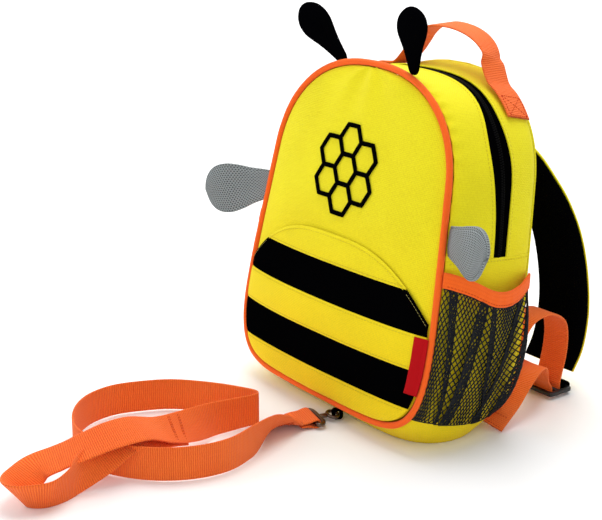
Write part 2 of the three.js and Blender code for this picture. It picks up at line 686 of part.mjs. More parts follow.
function addShoulderStrap(side, name) {
  const start = stand(backSurface(STRAP_START_X, STRAP_START_HEIGHT));
  const startClear = STRAP_THICKNESS * STRAP_ROUTE[0].pad / 2 + SEAM_GAP;
  const route = STRAP_ROUTE.map(({ side: spread, back, up }) => vec(
    side * (STRAP_START_X + spread * STRAP_SPREAD),
    start.y + startClear + back * STRAP_REACH,
    up * start.z,
  ));
  const count = 14;
  const centres = smoothPath(route, count);
  const sheet = (face, from, to) => centres.map((centre, i) => {
    const ahead = centres[Math.min(i + 1, count)].clone().sub(centres[Math.max(i - 1, 0)]).normalize();
    const across = vec(1, 0, 0).addScaledVector(ahead, -ahead.x).normalize();
    const out = across.clone().cross(ahead).normalize();
    const k = i / count * (STRAP_ROUTE.length - 1);
    const [a, b] = [STRAP_ROUTE[Math.floor(k)], STRAP_ROUTE[Math.min(Math.floor(k) + 1, STRAP_ROUTE.length - 1)]];
    const pad = lerp(a.pad, b.pad, k - Math.floor(k));
    return [-1, -0.72, 0, 0.72, 1].map((rib) => {
      const half = STRAP_THICKNESS / 2 * pad * (1 - 0.6 * rib ** 4);
      const height = face === 'pad' ? lerp(-half, half, from) : half + SEAM_GAP + to * STRAP_COVER;
      return centre.clone().addScaledVector(across, rib * STRAP_WIDTH / 2).addScaledVector(out, height);
    });
  });
  addPiece(`shoulder_strap_${name}`, wall(sheet('pad', 1, 0), sheet('pad', 0, 0)), 'black');
  addPiece(`strap_cover_${name}`, wall(sheet('cover', 0, 1), sheet('cover', 0, 0)), 'yellow');
}

// Ladder buckle on the floor: three bars and two slots
function addBuckle(side, name) {
  const [w, l] = [BUCKLE_WIDTH / 2, BUCKLE_LENGTH / 2];
  const slotHalf = w - BUCKLE_BAR;
  const corner = 3;
  const shape = new THREE.Shape();
  shape.moveTo(-w + corner, -l);
  shape.lineTo(w - corner, -l);
  shape.quadraticCurveTo(w, -l, w, -l + corner);
  shape.lineTo(w, l - corner);
  shape.quadraticCurveTo(w, l, w - corner, l);
  shape.lineTo(-w + corner, l);
  shape.quadraticCurveTo(-w, l, -w, l - corner);
  shape.lineTo(-w, -l + corner);
  shape.quadraticCurveTo(-w, -l, -w + corner, -l);
  const slot = (from, to) => {
    const path = new THREE.Path();
    path.moveTo(-slotHalf, from).lineTo(slotHalf, from).lineTo(slotHalf, to).lineTo(-slotHalf, to).closePath();
    return path;
  };
  const frontSlot = -l + BUCKLE_BAR;
  const rearSlot = frontSlot + FRONT_SLOT + BUCKLE_BAR;
  shape.holes = [slot(frontSlot, frontSlot + FRONT_SLOT), slot(rearSlot, l - BUCKLE_BAR)];
  const geometry = new THREE.ExtrudeGeometry(shape, { depth: BUCKLE_HEIGHT, bevelEnabled: false, curveSegments: 3 });
  const mesh = addPiece(`ladder_buckle_${name}`, geometry, 'plastic');
  mesh.position.set(side * BUCKLE_X, BUCKLE_Y, BUCKLE_LIFT);
}

// Webbing from the bag's rear corner, through the buckle and up as a free tail
function addAdjuster(side, name) {
  const [frontBar, rearBar] = [BUCKLE_Y - BUCKLE_LENGTH / 2, BUCKLE_Y + BUCKLE_LENGTH / 2];
  const slotA = frontBar + BUCKLE_BAR + FRONT_SLOT / 2;
  const slotB = frontBar + 2 * BUCKLE_BAR + FRONT_SLOT + 1.8;
  const under = WEBBING_THICKNESS / 2 + SEAM_GAP;
  const rootShare = shareAtHeight(7);
  const root = stand(gussetAt(rootShare, 1, 0)).add(vec(-8, CLOTH + 3 * SEAM_GAP + WEBBING_THICKNESS, 0));
  const rise = 35;
  const reach = frontBar - root.y;
  const route = [
    [root.x, root.y, root.z],
    [root.x - 1, root.y + reach * 0.08, root.z + rise * 0.3],
    [lerp(root.x, BUCKLE_X, 0.35), root.y + reach * 0.3, root.z + rise * 0.8],
    [lerp(root.x, BUCKLE_X, 0.6), root.y + reach * 0.55, root.z + rise],
    [lerp(root.x, BUCKLE_X, 0.85), root.y + reach * 0.82, root.z + rise * 0.82],
    [BUCKLE_X, frontBar + 1.5, BUCKLE_LIFT + BUCKLE_HEIGHT + 12],
    [BUCKLE_X, slotA - 0.4, BUCKLE_LIFT + BUCKLE_HEIGHT + 2],
    [BUCKLE_X, slotA, under + 2.6],
    [BUCKLE_X, slotA + 1.8, under + 0.4],
    [BUCKLE_X, (slotA + slotB) / 2, under],
    [BUCKLE_X, slotB - 1.8, under + 0.4],
    [BUCKLE_X, slotB, under + 2.6],
    [BUCKLE_X, slotB + 0.3, BUCKLE_LIFT + BUCKLE_HEIGHT + 4],
    [BUCKLE_X, slotB + 2.2, TAIL_HEIGHT * 0.26],
    [BUCKLE_X, slotB + 5.5, TAIL_HEIGHT * 0.46],
    [BUCKLE_X, slotB + 6.2, TAIL_HEIGHT * 0.7],
    [BUCKLE_X, slotB + 2.5, TAIL_HEIGHT * 0.87],
    [BUCKLE_X, slotB - 8, TAIL_HEIGHT * 0.975],
    [BUCKLE_X, slotB - 20, TAIL_HEIGHT],
    [BUCKLE_X, slotB - 38, TAIL_HEIGHT * 1.01],
  ].map(([x, y, z]) => vec(side * x, y, z));
  const centres = [...smoothPath(route.slice(0, 6), 9).slice(0, 9), ...route.slice(5)];
  const widthways = centres.map((_, i) => {
    const fromEnd = centres.length - 1 - i;
    const turn = side * clamp((4 - fromEnd) / 4, 0, 1) * 0.7;
    return vec(Math.cos(turn), -Math.sin(turn), 0);
  });
  addPiece(`adjuster_webbing_${name}`, band(centres, widthways, WEBBING_WIDTH, WEBBING_THICKNESS), 'orange');
}

// Loop of webbing that holds the buckle's rear bar to the end of the strap
function addBuckleLoop(side, name) {
  const bar = { y: BUCKLE_Y + BUCKLE_LENGTH / 2 - BUCKLE_BAR / 2, z: BUCKLE_LIFT + BUCKLE_HEIGHT / 2 };
  const thickness = 1.2;
  const clear = 2 * SEAM_GAP + thickness / 2;
  const [dy, dz] = [BUCKLE_BAR / 2 + clear, BUCKLE_HEIGHT / 2 + clear];
  const corners = [[dy, -dz], [-dy, -dz], [-dy, dz], [0, dz + 2], [dy, dz]];
  const sheet = (offset) => [-1, 1].map((w) => corners.map(([y, z]) => {
    const length = Math.hypot(y, z);
    const grow = (length + offset) / length;
    return vec(side * BUCKLE_X + w * WEBBING_WIDTH / 2, bar.y + y * grow, bar.z + z * grow);
  }));
  addPiece(`buckle_loop_${name}`, wall(sheet(thickness / 2), sheet(-thickness / 2), true), 'black');
}

// Snap hook under the front seam: an eye for the tether and a ring held by a small tab
function addSnapHook() {
  const eyeHalf = WEBBING_WIDTH / 2 + 3.6;
  const eyeLength = 9.5;
  const bar = 3;
  const neck = 2.6;
  const ringHalf = 7;
  const shape = new THREE.Shape();
  shape.moveTo(0, -eyeHalf);
  shape.lineTo(eyeLength, -eyeHalf);
  shape.lineTo(eyeLength + 1.5, -neck);
  shape.lineTo(eyeLength + 4, -neck);
  shape.lineTo(eyeLength + 5.5, -ringHalf);
  shape.lineTo(HOOK_LENGTH - 2.5, -ringHalf);
  shape.lineTo(HOOK_LENGTH, -ringHalf * 0.5);
  shape.lineTo(HOOK_LENGTH, ringHalf * 0.5);
  shape.lineTo(HOOK_LENGTH - 2.5, ringHalf);
  shape.lineTo(eyeLength + 5.5, ringHalf);
  shape.lineTo(eyeLength + 4, neck);
  shape.lineTo(eyeLength + 1.5, neck);
  shape.lineTo(eyeLength, eyeHalf);
  shape.lineTo(0, eyeHalf);
  const hole = (x0, x1, half) => {
    const path = new THREE.Path();
    path.moveTo(x0, -half).lineTo(x1, -half).lineTo(x1, half).lineTo(x0, half).closePath();
    return path;
  };
  shape.holes = [
    hole(bar, eyeLength - 1.8, eyeHalf - 2.6),
    hole(eyeLength + 7, HOOK_LENGTH - bar, ringHalf - 2.6),
  ];
  const geometry = new THREE.ExtrudeGeometry(shape, { depth: HOOK_THICKNESS, bevelEnabled: false });
  const hook = new THREE.Group();
  hook.position.set(HOOK_X, HOOK_Y, HOOK_LIFT);
  hook.rotation.z = THREE.MathUtils.degToRad(HOOK_TURN_DEGREES);
  addPiece('snap_hook', geometry, 'metal', hook);

  const end = HOOK_LENGTH - bar / 2;
  const clear = 2 * SEAM_GAP + TAB_THICKNESS / 2;
  const [dx, dz] = [bar / 2 + clear, HOOK_THICKNESS / 2 + clear];
  const corners = [[dx, -dz], [-dx, -dz], [-dx, dz], [dx, dz]];
  const sheet = (offset) => [-1, 1].map((w) => corners.map(([x, z]) => {
    const length = Math.hypot(x, z);
    const grow = (length + offset) / length;
    return vec(end + x * grow, w * TAB_WIDTH / 2, HOOK_THICKNESS / 2 + z * grow);
  }));
  addPiece('tether_tab', wall(sheet(TAB_THICKNESS / 2), sheet(-TAB_THICKNESS / 2), true), 'black', hook);
  backpack.add(hook);
}

// Tether webbing: x and y as shares of the reach, z as a share of the webbing width, tilt of the width in degrees
const TETHER_ROUTE = [
  { x: 0.034, y: -0.275, z: 0.16, tilt: 6 },
  { x: 0.05, y: -0.315, z: 0.28, tilt: 30 },
  { x: 0.08, y: -0.365, z: 0.5, tilt: 68 },
  { x: 0.125, y: -0.45, z: 0.54, tilt: 90 },
  { x: 0.15, y: -0.53, z: 0.54, tilt: 90 },
  { x: 0.14, y: -0.61, z: 0.54, tilt: 90 },
  { x: 0.097, y: -0.687, z: 0.54, tilt: 90 },
  { x: 0.03, y: -0.75, z: 0.54, tilt: 90 },
  { x: -0.05, y: -0.79, z: 0.54, tilt: 90 },
  { x: -0.14, y: -0.8, z: 0.54, tilt: 90 },
  { x: -0.23, y: -0.765, z: 0.54, tilt: 90 },
  { x: -0.29, y: -0.695, z: 0.54, tilt: 90 },
  { x: -0.302, y: -0.61, z: 0.54, tilt: 90 },
  { x: -0.277, y: -0.53, z: 0.54, tilt: 90 },
  { x: -0.235, y: -0.455, z: 0.54, tilt: 90 },
  { x: -0.17, y: -0.395, z: 0.54, tilt: 90 },
  { x: -0.1, y: -0.35, z: 0.54, tilt: 90 },
  { x: -0.045, y: -0.327, z: 0.54, tilt: 90 },
  { x: -0.034, y: -0.337, z: 0.54, tilt: 90 },
  { x: -0.036, y: -0.38, z: 0.54, tilt: 88 },
  { x: -0.036, y: -0.45, z: 0.58, tilt: 78 },
  { x: -0.015, y: -0.53, z: 0.8, tilt: 56 },
  { x: 0.016, y: -0.62, z: 1.18, tilt: 34 },
  { x: 0.03, y: -0.7, z: 1.5, tilt: 22 },
  { x: 0.028, y: -0.77, z: 1.52, tilt: 24 },
  { x: 0.006, y: -0.84, z: 1.2, tilt: 30 },
  { x: -0.012, y: -0.905, z: 0.78, tilt: 38 },
  { x: -0.02, y: -0.955, z: 0.5, tilt: 52 },
  { x: -0.006, y: -0.985, z: 0.49, tilt: 64 },
  { x: 0.026, y: -0.988, z: 0.52, tilt: 76 },
  { x: 0.056, y: -0.965, z: 0.54, tilt: 86 },
  { x: 0.066, y: -0.915, z: 0.54, tilt: 92 },
  { x: 0.046, y: -0.85, z: 0.6, tilt: 104 },
  { x: 0.032, y: -0.79, z: 0.84, tilt: 124 },
  { x: 0.028, y: -0.73, z: 1.26, tilt: 152 },
  { x: 0.015, y: -0.64, z: 1.165, tilt: 149 },
  { x: -0.011, y: -0.56, z: 0.86, tilt: 131 },
];

function addTether() {
  const tetherSteps = 74;
  const route = TETHER_ROUTE.map(({ x, y, z }) => vec(x * TETHER_REACH, y * TETHER_REACH, z * WEBBING_WIDTH));
  const turn = THREE.MathUtils.degToRad(HOOK_TURN_DEGREES);
  const hookAhead = vec(Math.cos(turn), Math.sin(turn), 0);
  const barMiddle = vec(HOOK_X, HOOK_Y, HOOK_LIFT + HOOK_THICKNESS / 2).addScaledVector(hookAhead, 1.5);
  const wrap = (along, up) => barMiddle.clone().addScaledVector(hookAhead, along).add(vec(0, 0, up));
  const clear = HOOK_THICKNESS / 2 + SEAM_GAP + WEBBING_THICKNESS / 2;
  const sewnEnd = [wrap(-12, -1.1), wrap(-6, -1.5), wrap(-1.5, -clear), wrap(1.6, -clear), wrap(2.9, -1.2),
    wrap(2.9, 1.2), wrap(1.6, clear), wrap(-1.5, clear), wrap(-6, 1.5), wrap(-12, 1.1)];
  const smooth = smoothPath([sewnEnd[sewnEnd.length - 1], ...route], tetherSteps);
  const tilts = smoothPath([vec(0, 0, 0), ...TETHER_ROUTE.map(({ tilt }) => vec(tilt, 0, 0))], tetherSteps);
  const centres = [...sewnEnd, ...smooth.slice(1)];
  const level = vec(-Math.sin(turn), Math.cos(turn), 0);
  const widthways = centres.map((centre, i) => {
    if (i < sewnEnd.length) return level;
    const k = i - sewnEnd.length + 1;
    const ahead = smooth[Math.min(k + 1, tetherSteps)].clone().sub(smooth[k - 1]);
    const flat = vec(ahead.y, -ahead.x, 0).normalize();
    const tilt = THREE.MathUtils.degToRad(tilts[k].x);
    return flat.multiplyScalar(Math.cos(tilt)).add(vec(0, 0, Math.sin(tilt)));
  });
  addPiece('tether', band(centres, widthways, WEBBING_WIDTH, WEBBING_THICKNESS), 'orange');
}

addFrontPanel();
addFrontPocket();
addPiping();
addGusset();
addZipSlider();
addBackPanel();
addHoneycomb();
addLabel();
addHandle();
addAntenna(RIGHT, 'right', 0.22, 0.24);
addAntenna(LEFT, 'left', 0.56, 0.24);
addWing(RIGHT, 'right', 0);
addWing(LEFT, 'left', -0.24);
for (const [side, name] of [[RIGHT, 'right'], [LEFT, 'left']]) {
  addSidePocket(side, name);
  addShoulderStrap(side, name);
  addBuckle(side, name);
  addAdjuster(side, name);
  addBuckleLoop(side, name);
}
addSnapHook();
addTether();

export default backpack;
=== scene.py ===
# Toddler harness backpack: yellow and black cloth, orange webbing, net side pockets, antennae and wings
# Lengths in the code are millimetres until a mesh is made

import bpy
import json
import math
import numpy as np
from mathutils import Vector, Matrix

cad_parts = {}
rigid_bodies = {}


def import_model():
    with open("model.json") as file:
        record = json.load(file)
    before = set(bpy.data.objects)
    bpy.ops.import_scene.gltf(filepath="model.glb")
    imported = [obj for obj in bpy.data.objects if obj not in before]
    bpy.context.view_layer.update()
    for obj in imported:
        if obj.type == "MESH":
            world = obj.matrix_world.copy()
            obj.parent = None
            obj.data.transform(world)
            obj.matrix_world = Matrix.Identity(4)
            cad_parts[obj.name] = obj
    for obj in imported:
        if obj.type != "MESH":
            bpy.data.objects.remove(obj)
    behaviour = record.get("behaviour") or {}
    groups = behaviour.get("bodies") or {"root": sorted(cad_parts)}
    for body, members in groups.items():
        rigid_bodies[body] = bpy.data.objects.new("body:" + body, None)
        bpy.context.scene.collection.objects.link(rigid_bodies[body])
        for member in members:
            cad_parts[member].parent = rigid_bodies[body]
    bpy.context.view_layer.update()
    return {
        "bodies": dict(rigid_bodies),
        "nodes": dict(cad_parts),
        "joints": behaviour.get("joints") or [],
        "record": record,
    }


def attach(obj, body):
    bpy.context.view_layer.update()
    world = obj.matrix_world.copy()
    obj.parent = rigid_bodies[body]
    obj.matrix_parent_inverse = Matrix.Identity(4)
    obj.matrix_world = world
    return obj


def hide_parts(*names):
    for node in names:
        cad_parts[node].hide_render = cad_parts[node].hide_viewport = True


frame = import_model()
mm = 0.001
uvUnit = 100.0    # one UV unit is 100 mm of cloth


# Small helpers for objects

def clearSelection():
    if bpy.context.object and bpy.context.object.mode != "OBJECT":
        bpy.ops.object.mode_set(mode="OBJECT")
    bpy.ops.object.select_all(action="DESELECT")


def pick(obj):
    clearSelection()
    obj.select_set(True)
    bpy.context.view_layer.objects.active = obj


def applyModifier(obj, kind, **settings):
    pick(obj)
    modifier = obj.modifiers.new(kind.title(), kind)
    for key, value in settings.items():
        setattr(modifier, key, value)
    bpy.ops.object.modifier_apply(modifier=modifier.name)


def settlePlace(obj):
    pick(obj)
    bpy.ops.object.transform_apply(location=True, rotation=True, scale=True)


def faceOutwards(obj):
    pick(obj)
    bpy.ops.object.mode_set(mode="EDIT")
    bpy.ops.mesh.select_all(action="SELECT")
    bpy.ops.mesh.remove_doubles(threshold=0.000002)
    bpy.ops.mesh.normals_make_consistent(inside=False)
    bpy.ops.object.mode_set(mode="OBJECT")


def closeEnds(obj, merge=0.0):
    pick(obj)
    bpy.ops.object.mode_set(mode="EDIT")
    bpy.ops.mesh.select_all(action="SELECT")
    if merge:
        bpy.ops.mesh.remove_doubles(threshold=merge)
    bpy.ops.mesh.fill_holes(sides=0)
    bpy.ops.object.mode_set(mode="OBJECT")
    faceOutwards(obj)


def joinInto(main, parts):
    clearSelection()
    for part in (*parts, main):
        part.select_set(True)
    bpy.context.view_layer.objects.active = main
    bpy.ops.object.join()


def finishPiece(obj, name, material, nodes=(), smooth=True):
    obj.name = name
    obj.data.name = name
    obj.data.materials.clear()
    obj.data.materials.append(material)
    for face in obj.data.polygons:
        face.use_smooth = smooth
    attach(obj, "root")
    if nodes:
        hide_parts(*nodes)
    return obj


def meshObject(name, points, faces, uvs=None):
    mesh = bpy.data.meshes.new(name)
    mesh.from_pydata((np.asarray(points) * mm).tolist(), [], [list(map(int, f)) for f in faces])
    if uvs is not None:
        layer = mesh.uv_layers.new(name="UVMap")
        flat = np.array([corner for face in uvs for corner in face], np.float32) / uvUnit
        layer.data.foreach_set("uv", flat.ravel())
    obj = bpy.data.objects.new(name, mesh)
    bpy.context.scene.collection.objects.link(obj)
    return obj


def gridObject(name, points, uv, ring=False, flip=False):
    # points and uv are grids, rows by columns; a ring joins its last column to its first
    rows, columns = points.shape[:2]
    r, c = np.meshgrid(np.arange(rows - 1), np.arange(columns if ring else columns - 1), indexing="ij")
    r, c = r.ravel(), c.ravel()
    far = (c + 1) % columns
    corners = [(r, c, c), (r, far, c + 1), (r + 1, far, c + 1), (r + 1, c, c)]
    if flip:
        corners = corners[::-1]
    faces = np.stack([a * columns + b for a, b, _ in corners], axis=1)
    uvs = np.stack([uv[a, b] for a, _, b in corners], axis=1)
    return meshObject(name, points.reshape(-1, 3), faces, uvs)


def wallThickness(obj, thickness):
    applyModifier(obj, "SOLIDIFY", thickness=thickness * mm, offset=-1, use_even_offset=False)


# Curves and noise

def smoothPath(points, t):
    # centripetal curve through the points, at shares t of its spans
    p = np.asarray(points, float)
    last = len(p) - 1
    place = np.clip(np.asarray(t, float) * last, 0, last - 1e-9)
    k = place.astype(int)
    w = (place - k)[:, None]
    before = np.where((k > 0)[:, None], p[np.maximum(k - 1, 0)], 2 * p[0] - p[1])
    after = np.where((k + 2 <= last)[:, None], p[np.minimum(k + 2, last)], 2 * p[last] - p[last - 1])
    a, b = p[k], p[k + 1]
    span = [np.maximum(np.sqrt(np.linalg.norm(q - s, axis=1)), 1e-6)[:, None]
            for s, q in ((before, a), (a, b), (b, after))]
    t1 = ((a - before) / span[0] - (b - before) / (span[0] + span[1]) + (b - a) / span[1]) * span[1]
    t2 = ((b - a) / span[1] - (after - a) / (span[1] + span[2]) + (after - b) / span[2]) * span[1]
    return a + t1 * w + (-3 * a + 3 * b - 2 * t1 - t2) * w ** 2 + (2 * a - 2 * b + t1 + t2) * w ** 3


def lengthsAlong(path):
    return np.concatenate([[0], np.cumsum(np.linalg.norm(np.diff(path, axis=0), axis=1))])


def evenSamples(path, extras, spacing):
    # the path and other columns of values, spaced evenly along its length
    along = lengthsAlong(path)
    count = max(int(round(along[-1] / spacing)), 2)
    target = np.linspace(0, along[-1], count + 1)
    columns = [np.stack([np.interp(target, along, q[:, i]) for i in range(q.shape[1])], axis=1)
               for q in (path, *extras)]
    return (target, *columns)


def waves(a, b, seed, rough=1.0):
    # soft unevenness from a few crossed sines, about -1 to 1
    random = np.random.RandomState(seed)
    total = 0
    for k in range(6):
        angle, phase = random.uniform(0, 2 * math.pi, 2)
        pace = (1 + 0.55 * k) * rough
        total = total + np.sin(pace * (a * math.cos(angle) + b * math.sin(angle)) + phase) / (1 + 0.5 * k)
    return total / 2.6


def unit(v):
    return v / np.maximum(np.linalg.norm(v, axis=-1, keepdims=True), 1e-9)


# Shader parts

def newGroup(name, inputs, outputs):
    group = bpy.data.node_groups.new(name, "ShaderNodeTree")
    for kind, socket, value in inputs:
        made = group.interface.new_socket(socket, in_out="INPUT", socket_type=kind)
        if value is not None:
            made.default_value = value
    for kind, socket in outputs:
        group.interface.new_socket(socket, in_out="OUTPUT", socket_type=kind)
    return group, group.nodes.new("NodeGroupInput"), group.nodes.new("NodeGroupOutput")


def mathNode(tree, operation, a, b=None, c=None):
    node = tree.nodes.new("ShaderNodeMath")
    node.operation = operation
    for socket, value in zip(node.inputs, (a, b, c)):
        if value is None:
            continue
        if isinstance(value, (int, float)):
            socket.default_value = value
        else:
            tree.links.new(value, socket)
    return node.outputs[0]


def noiseNode(tree, vector, scale, detail=2.0, rough=0.5):
    node = tree.nodes.new("ShaderNodeTexNoise")
    node.inputs["Scale"].default_value = scale
    node.inputs["Detail"].default_value = detail
    node.inputs["Roughness"].default_value = rough
    if vector is not None:
        tree.links.new(vector, node.inputs["Vector"])
    return node.outputs["Fac"]


def mixColor(tree, factor, a, b, blend="MIX"):
    node = tree.nodes.new("ShaderNodeMix")
    node.data_type = "RGBA"
    node.blend_type = blend
    for socket, value in ((node.inputs[0], factor), (node.inputs[6], a), (node.inputs[7], b)):
        if isinstance(value, (int, float)):
            socket.default_value = value
        elif isinstance(value, (tuple, list)):
            socket.default_value = (*value, 1.0)
        else:
            tree.links.new(value, socket)
    return node.outputs[2]


def weaveGroup():
    # over and under threads of a plain weave on the UV map
    group, inside, outside = newGroup("plainWeave", [
        ("NodeSocketVector", "Vector", None), ("NodeSocketFloat", "Threads", 90.0),
    ], [("NodeSocketFloat", "Height")])
    split = group.nodes.new("ShaderNodeSeparateXYZ")
    group.links.new(inside.outputs["Vector"], split.inputs[0])
    u = mathNode(group, "MULTIPLY", split.outputs[0], inside.outputs["Threads"])
    v = mathNode(group, "MULTIPLY", split.outputs[1], inside.outputs["Threads"])
    warp = mathNode(group, "ABSOLUTE", mathNode(group, "SINE", mathNode(group, "MULTIPLY", u, math.pi)))
    weft = mathNode(group, "ABSOLUTE", mathNode(group, "SINE", mathNode(group, "MULTIPLY", v, math.pi)))
    cell = mathNode(group, "ADD", mathNode(group, "FLOOR", u), mathNode(group, "FLOOR", v))
    odd = mathNode(group, "FLOORED_MODULO", cell, 2.0)
    over = mathNode(group, "MULTIPLY", warp, odd)
    under = mathNode(group, "MULTIPLY", weft, mathNode(group, "SUBTRACT", 1.0, odd))
    group.links.new(mathNode(group, "ADD", over, under), outside.inputs["Height"])
    return group


def ribGroup():
    # cross ribs of webbing, a little staggered between lengthwise threads; U runs across, V along
    group, inside, outside = newGroup("webbingRibs", [
        ("NodeSocketVector", "Vector", None), ("NodeSocketFloat", "Ribs", 58.0),
        ("NodeSocketFloat", "Cords", 52.0),
    ], [("NodeSocketFloat", "Height")])
    split = group.nodes.new("ShaderNodeSeparateXYZ")
    group.links.new(inside.outputs["Vector"], split.inputs[0])
    u = mathNode(group, "MULTIPLY", split.outputs[0], inside.outputs["Cords"])
    v = mathNode(group, "MULTIPLY", split.outputs[1], inside.outputs["Ribs"])
    shifted = mathNode(group, "ADD", v, mathNode(group, "MULTIPLY",
                       mathNode(group, "FLOORED_MODULO", mathNode(group, "FLOOR", u), 2.0), 0.09))
    rib = mathNode(group, "ABSOLUTE", mathNode(group, "SINE", mathNode(group, "MULTIPLY", shifted, math.pi)))
    cordHeight = mathNode(group, "ABSOLUTE", mathNode(group, "SINE", mathNode(group, "MULTIPLY", u, math.pi)))
    mixed = mathNode(group, "ADD", mathNode(group, "MULTIPLY", rib, 0.88),
                     mathNode(group, "MULTIPLY", cordHeight, 0.12))
    group.links.new(mixed, outside.inputs["Height"])
    return group


def toneAndShadeGroup():
    # fading and slub: broad soft patches and fine fibre specks over a colour, and painted shade in the low
    # parts of the weave
    group, inside, outside = newGroup("clothToneAndShade", [
        ("NodeSocketVector", "Vector", None), ("NodeSocketColor", "Cloth", (0.8, 0.8, 0.8, 1)),
        ("NodeSocketColor", "ShadeAndTone", (0.5, 0.5, 0.5, 1)), ("NodeSocketFloat", "Weave", 1.0),
        ("NodeSocketFloat", "Specks", 0.3), ("NodeSocketFloat", "ValleyShade", 0.45),
    ], [("NodeSocketColor", "Color")])
    broad = noiseNode(group, inside.outputs["Vector"], 14.0, 3.0)
    fine = noiseNode(group, inside.outputs["Vector"], 900.0, 2.0, 0.7)
    patches = mathNode(group, "MULTIPLY", mathNode(group, "SUBTRACT", broad, 0.42), 0.9)
    dots = mathNode(group, "MULTIPLY", mathNode(group, "SUBTRACT", fine, 0.5), inside.outputs["Specks"])
    # painted shade: the low parts of the weave, ribs or holes are mixed towards the darker colour
    valleyShade = mathNode(group, "MULTIPLY", mathNode(group, "SUBTRACT", 1.0, inside.outputs["Weave"]),
                       inside.outputs["ValleyShade"])
    shade = mathNode(group, "ADD", mathNode(group, "ADD", patches, dots), valleyShade)
    shade.node.use_clamp = True
    color = mixColor(group, shade, inside.outputs["Cloth"], inside.outputs["ShadeAndTone"])
    group.links.new(color, outside.inputs["Color"])
    return group


def meshHoleGroup():
    # rows of small round holes in a spacer mesh, on the UV map
    group, inside, outside = newGroup("meshHoles", [
        ("NodeSocketVector", "Vector", None), ("NodeSocketFloat", "Holes", 40.0),
    ], [("NodeSocketFloat", "Height")])
    split = group.nodes.new("ShaderNodeSeparateXYZ")
    group.links.new(inside.outputs["Vector"], split.inputs[0])
    total = None
    for angle in (0.0, math.pi / 3, 2 * math.pi / 3):
        along = mathNode(group, "ADD",
                         mathNode(group, "MULTIPLY", split.outputs[0], math.cos(angle)),
                         mathNode(group, "MULTIPLY", split.outputs[1], math.sin(angle)))
        turns = mathNode(group, "MULTIPLY", along, inside.outputs["Holes"])
        wave = mathNode(group, "COSINE", mathNode(group, "MULTIPLY", turns, 2 * math.pi))
        total = wave if total is None else mathNode(group, "ADD", total, wave)
    height = mathNode(group, "SUBTRACT", 1.0, mathNode(group, "SMOOTH_MAX",
                      mathNode(group, "MULTIPLY", total, 0.5), 0.0, 0.2))
    height.node.use_clamp = True
    group.links.new(height, outside.inputs["Height"])
    return group


weave = weaveGroup()
ribs = ribGroup()
tone = toneAndShadeGroup()
holes = meshHoleGroup()


def newMaterial(name, rough, sheen=0.0, metallic=0.0, specular=0.5):
    material = bpy.data.materials.new(name)
    material.use_nodes = True
    shader = material.node_tree.nodes["Principled BSDF"]
    shader.inputs["Roughness"].default_value = rough
    shader.inputs["Metallic"].default_value = metallic
    shader.inputs["Sheen Weight"].default_value = sheen
    shader.inputs["Specular IOR Level"].default_value = specular
    return material, material.node_tree, shader


# painted shade: below this height the yellow cloth is painted darker and more orange towards the floor
paintedShadeHeight = 0.17    # metres; below it the yellow cloth grows warmer towards the floor


def clothMaterial(name, look, pattern, patternValues):
    # a cloth colour with its weave, ribs or holes as bump, and painted shade in their valleys
    material, tree, shader = newMaterial(name, look["rough"], look.get("sheen", 0.0), 0.0,
                                         look.get("specular", 0.3))
    coords = tree.nodes.new("ShaderNodeTexCoord")
    surface = tree.nodes.new("ShaderNodeGroup")
    surface.node_tree = pattern
    tree.links.new(coords.outputs["UV"], surface.inputs["Vector"])
    for key, value in patternValues.items():
        surface.inputs[key].default_value = value
    colors = tree.nodes.new("ShaderNodeGroup")
    colors.node_tree = tone
    tree.links.new(coords.outputs["Object"], colors.inputs["Vector"])
    tree.links.new(surface.outputs["Height"], colors.inputs["Weave"])
    colors.inputs["Cloth"].default_value = (*look["cloth"], 1)
    # painted shade: mixed by height from the cloth colour to the low colour near the floor
    if "low" in look:
        place = tree.nodes.new("ShaderNodeSeparateXYZ")
        tree.links.new(coords.outputs["Object"], place.inputs[0])
        drop = mathNode(tree, "SUBTRACT", 1.0, mathNode(tree, "MULTIPLY", place.outputs[2], 1 / paintedShadeHeight))
        drop.node.use_clamp = True
        tree.links.new(mixColor(tree, drop, look["cloth"], look["low"]), colors.inputs["Cloth"])
    # the darker colour is painted shade in the valleys as well as the tone of the fading patches
    colors.inputs["ShadeAndTone"].default_value = (*look["shadeAndTone"], 1)
    colors.inputs["Specks"].default_value = look.get("specks", 0.3)
    colors.inputs["ValleyShade"].default_value = look.get("valleyShade", 0.45)
    tree.links.new(colors.outputs["Color"], shader.inputs["Base Color"])
    bump = tree.nodes.new("ShaderNodeBump")
    bump.inputs["Distance"].default_value = look["relief"] * mm
    bump.inputs["Strength"].default_value = look.get("strength", 0.7)
    fibre = noiseNode(tree, coords.outputs["Object"], 1400.0, 2.0)
    height = mathNode(tree, "ADD", surface.outputs["Height"], mathNode(tree, "MULTIPLY", fibre, 0.5))
    tree.links.new(height, bump.inputs["Height"])
    tree.links.new(bump.outputs["Normal"], shader.inputs["Normal"])
    return material


def hardMaterial(name, look):
    # moulded plastic or plated metal: worn tone and a fine grain
    material, tree, shader = newMaterial(name, look["rough"], 0.0, look.get("metallic", 0.0),
                                         look.get("specular", 0.5))
    coords = tree.nodes.new("ShaderNodeTexCoord")
    broad = noiseNode(tree, coords.outputs["Object"], look.get("patch", 90.0), 4.0)
    tree.links.new(mixColor(tree, broad, look["light"], look["dark"]), shader.inputs["Base Color"])
    spread = mathNode(tree, "ADD", mathNode(tree, "MULTIPLY", broad, look.get("roughSpread", 0.15)),
                      look["rough"] - look.get("roughSpread", 0.15) / 2)
    tree.links.new(spread, shader.inputs["Roughness"])
    bump = tree.nodes.new("ShaderNodeBump")
    bump.inputs["Distance"].default_value = look["relief"] * mm
    bump.inputs["Strength"].default_value = 0.5
    tree.links.new(noiseNode(tree, coords.outputs["Object"], look["grain"], 3.0), bump.inputs["Height"])
    tree.links.new(bump.outputs["Normal"], shader.inputs["Normal"])
    return material


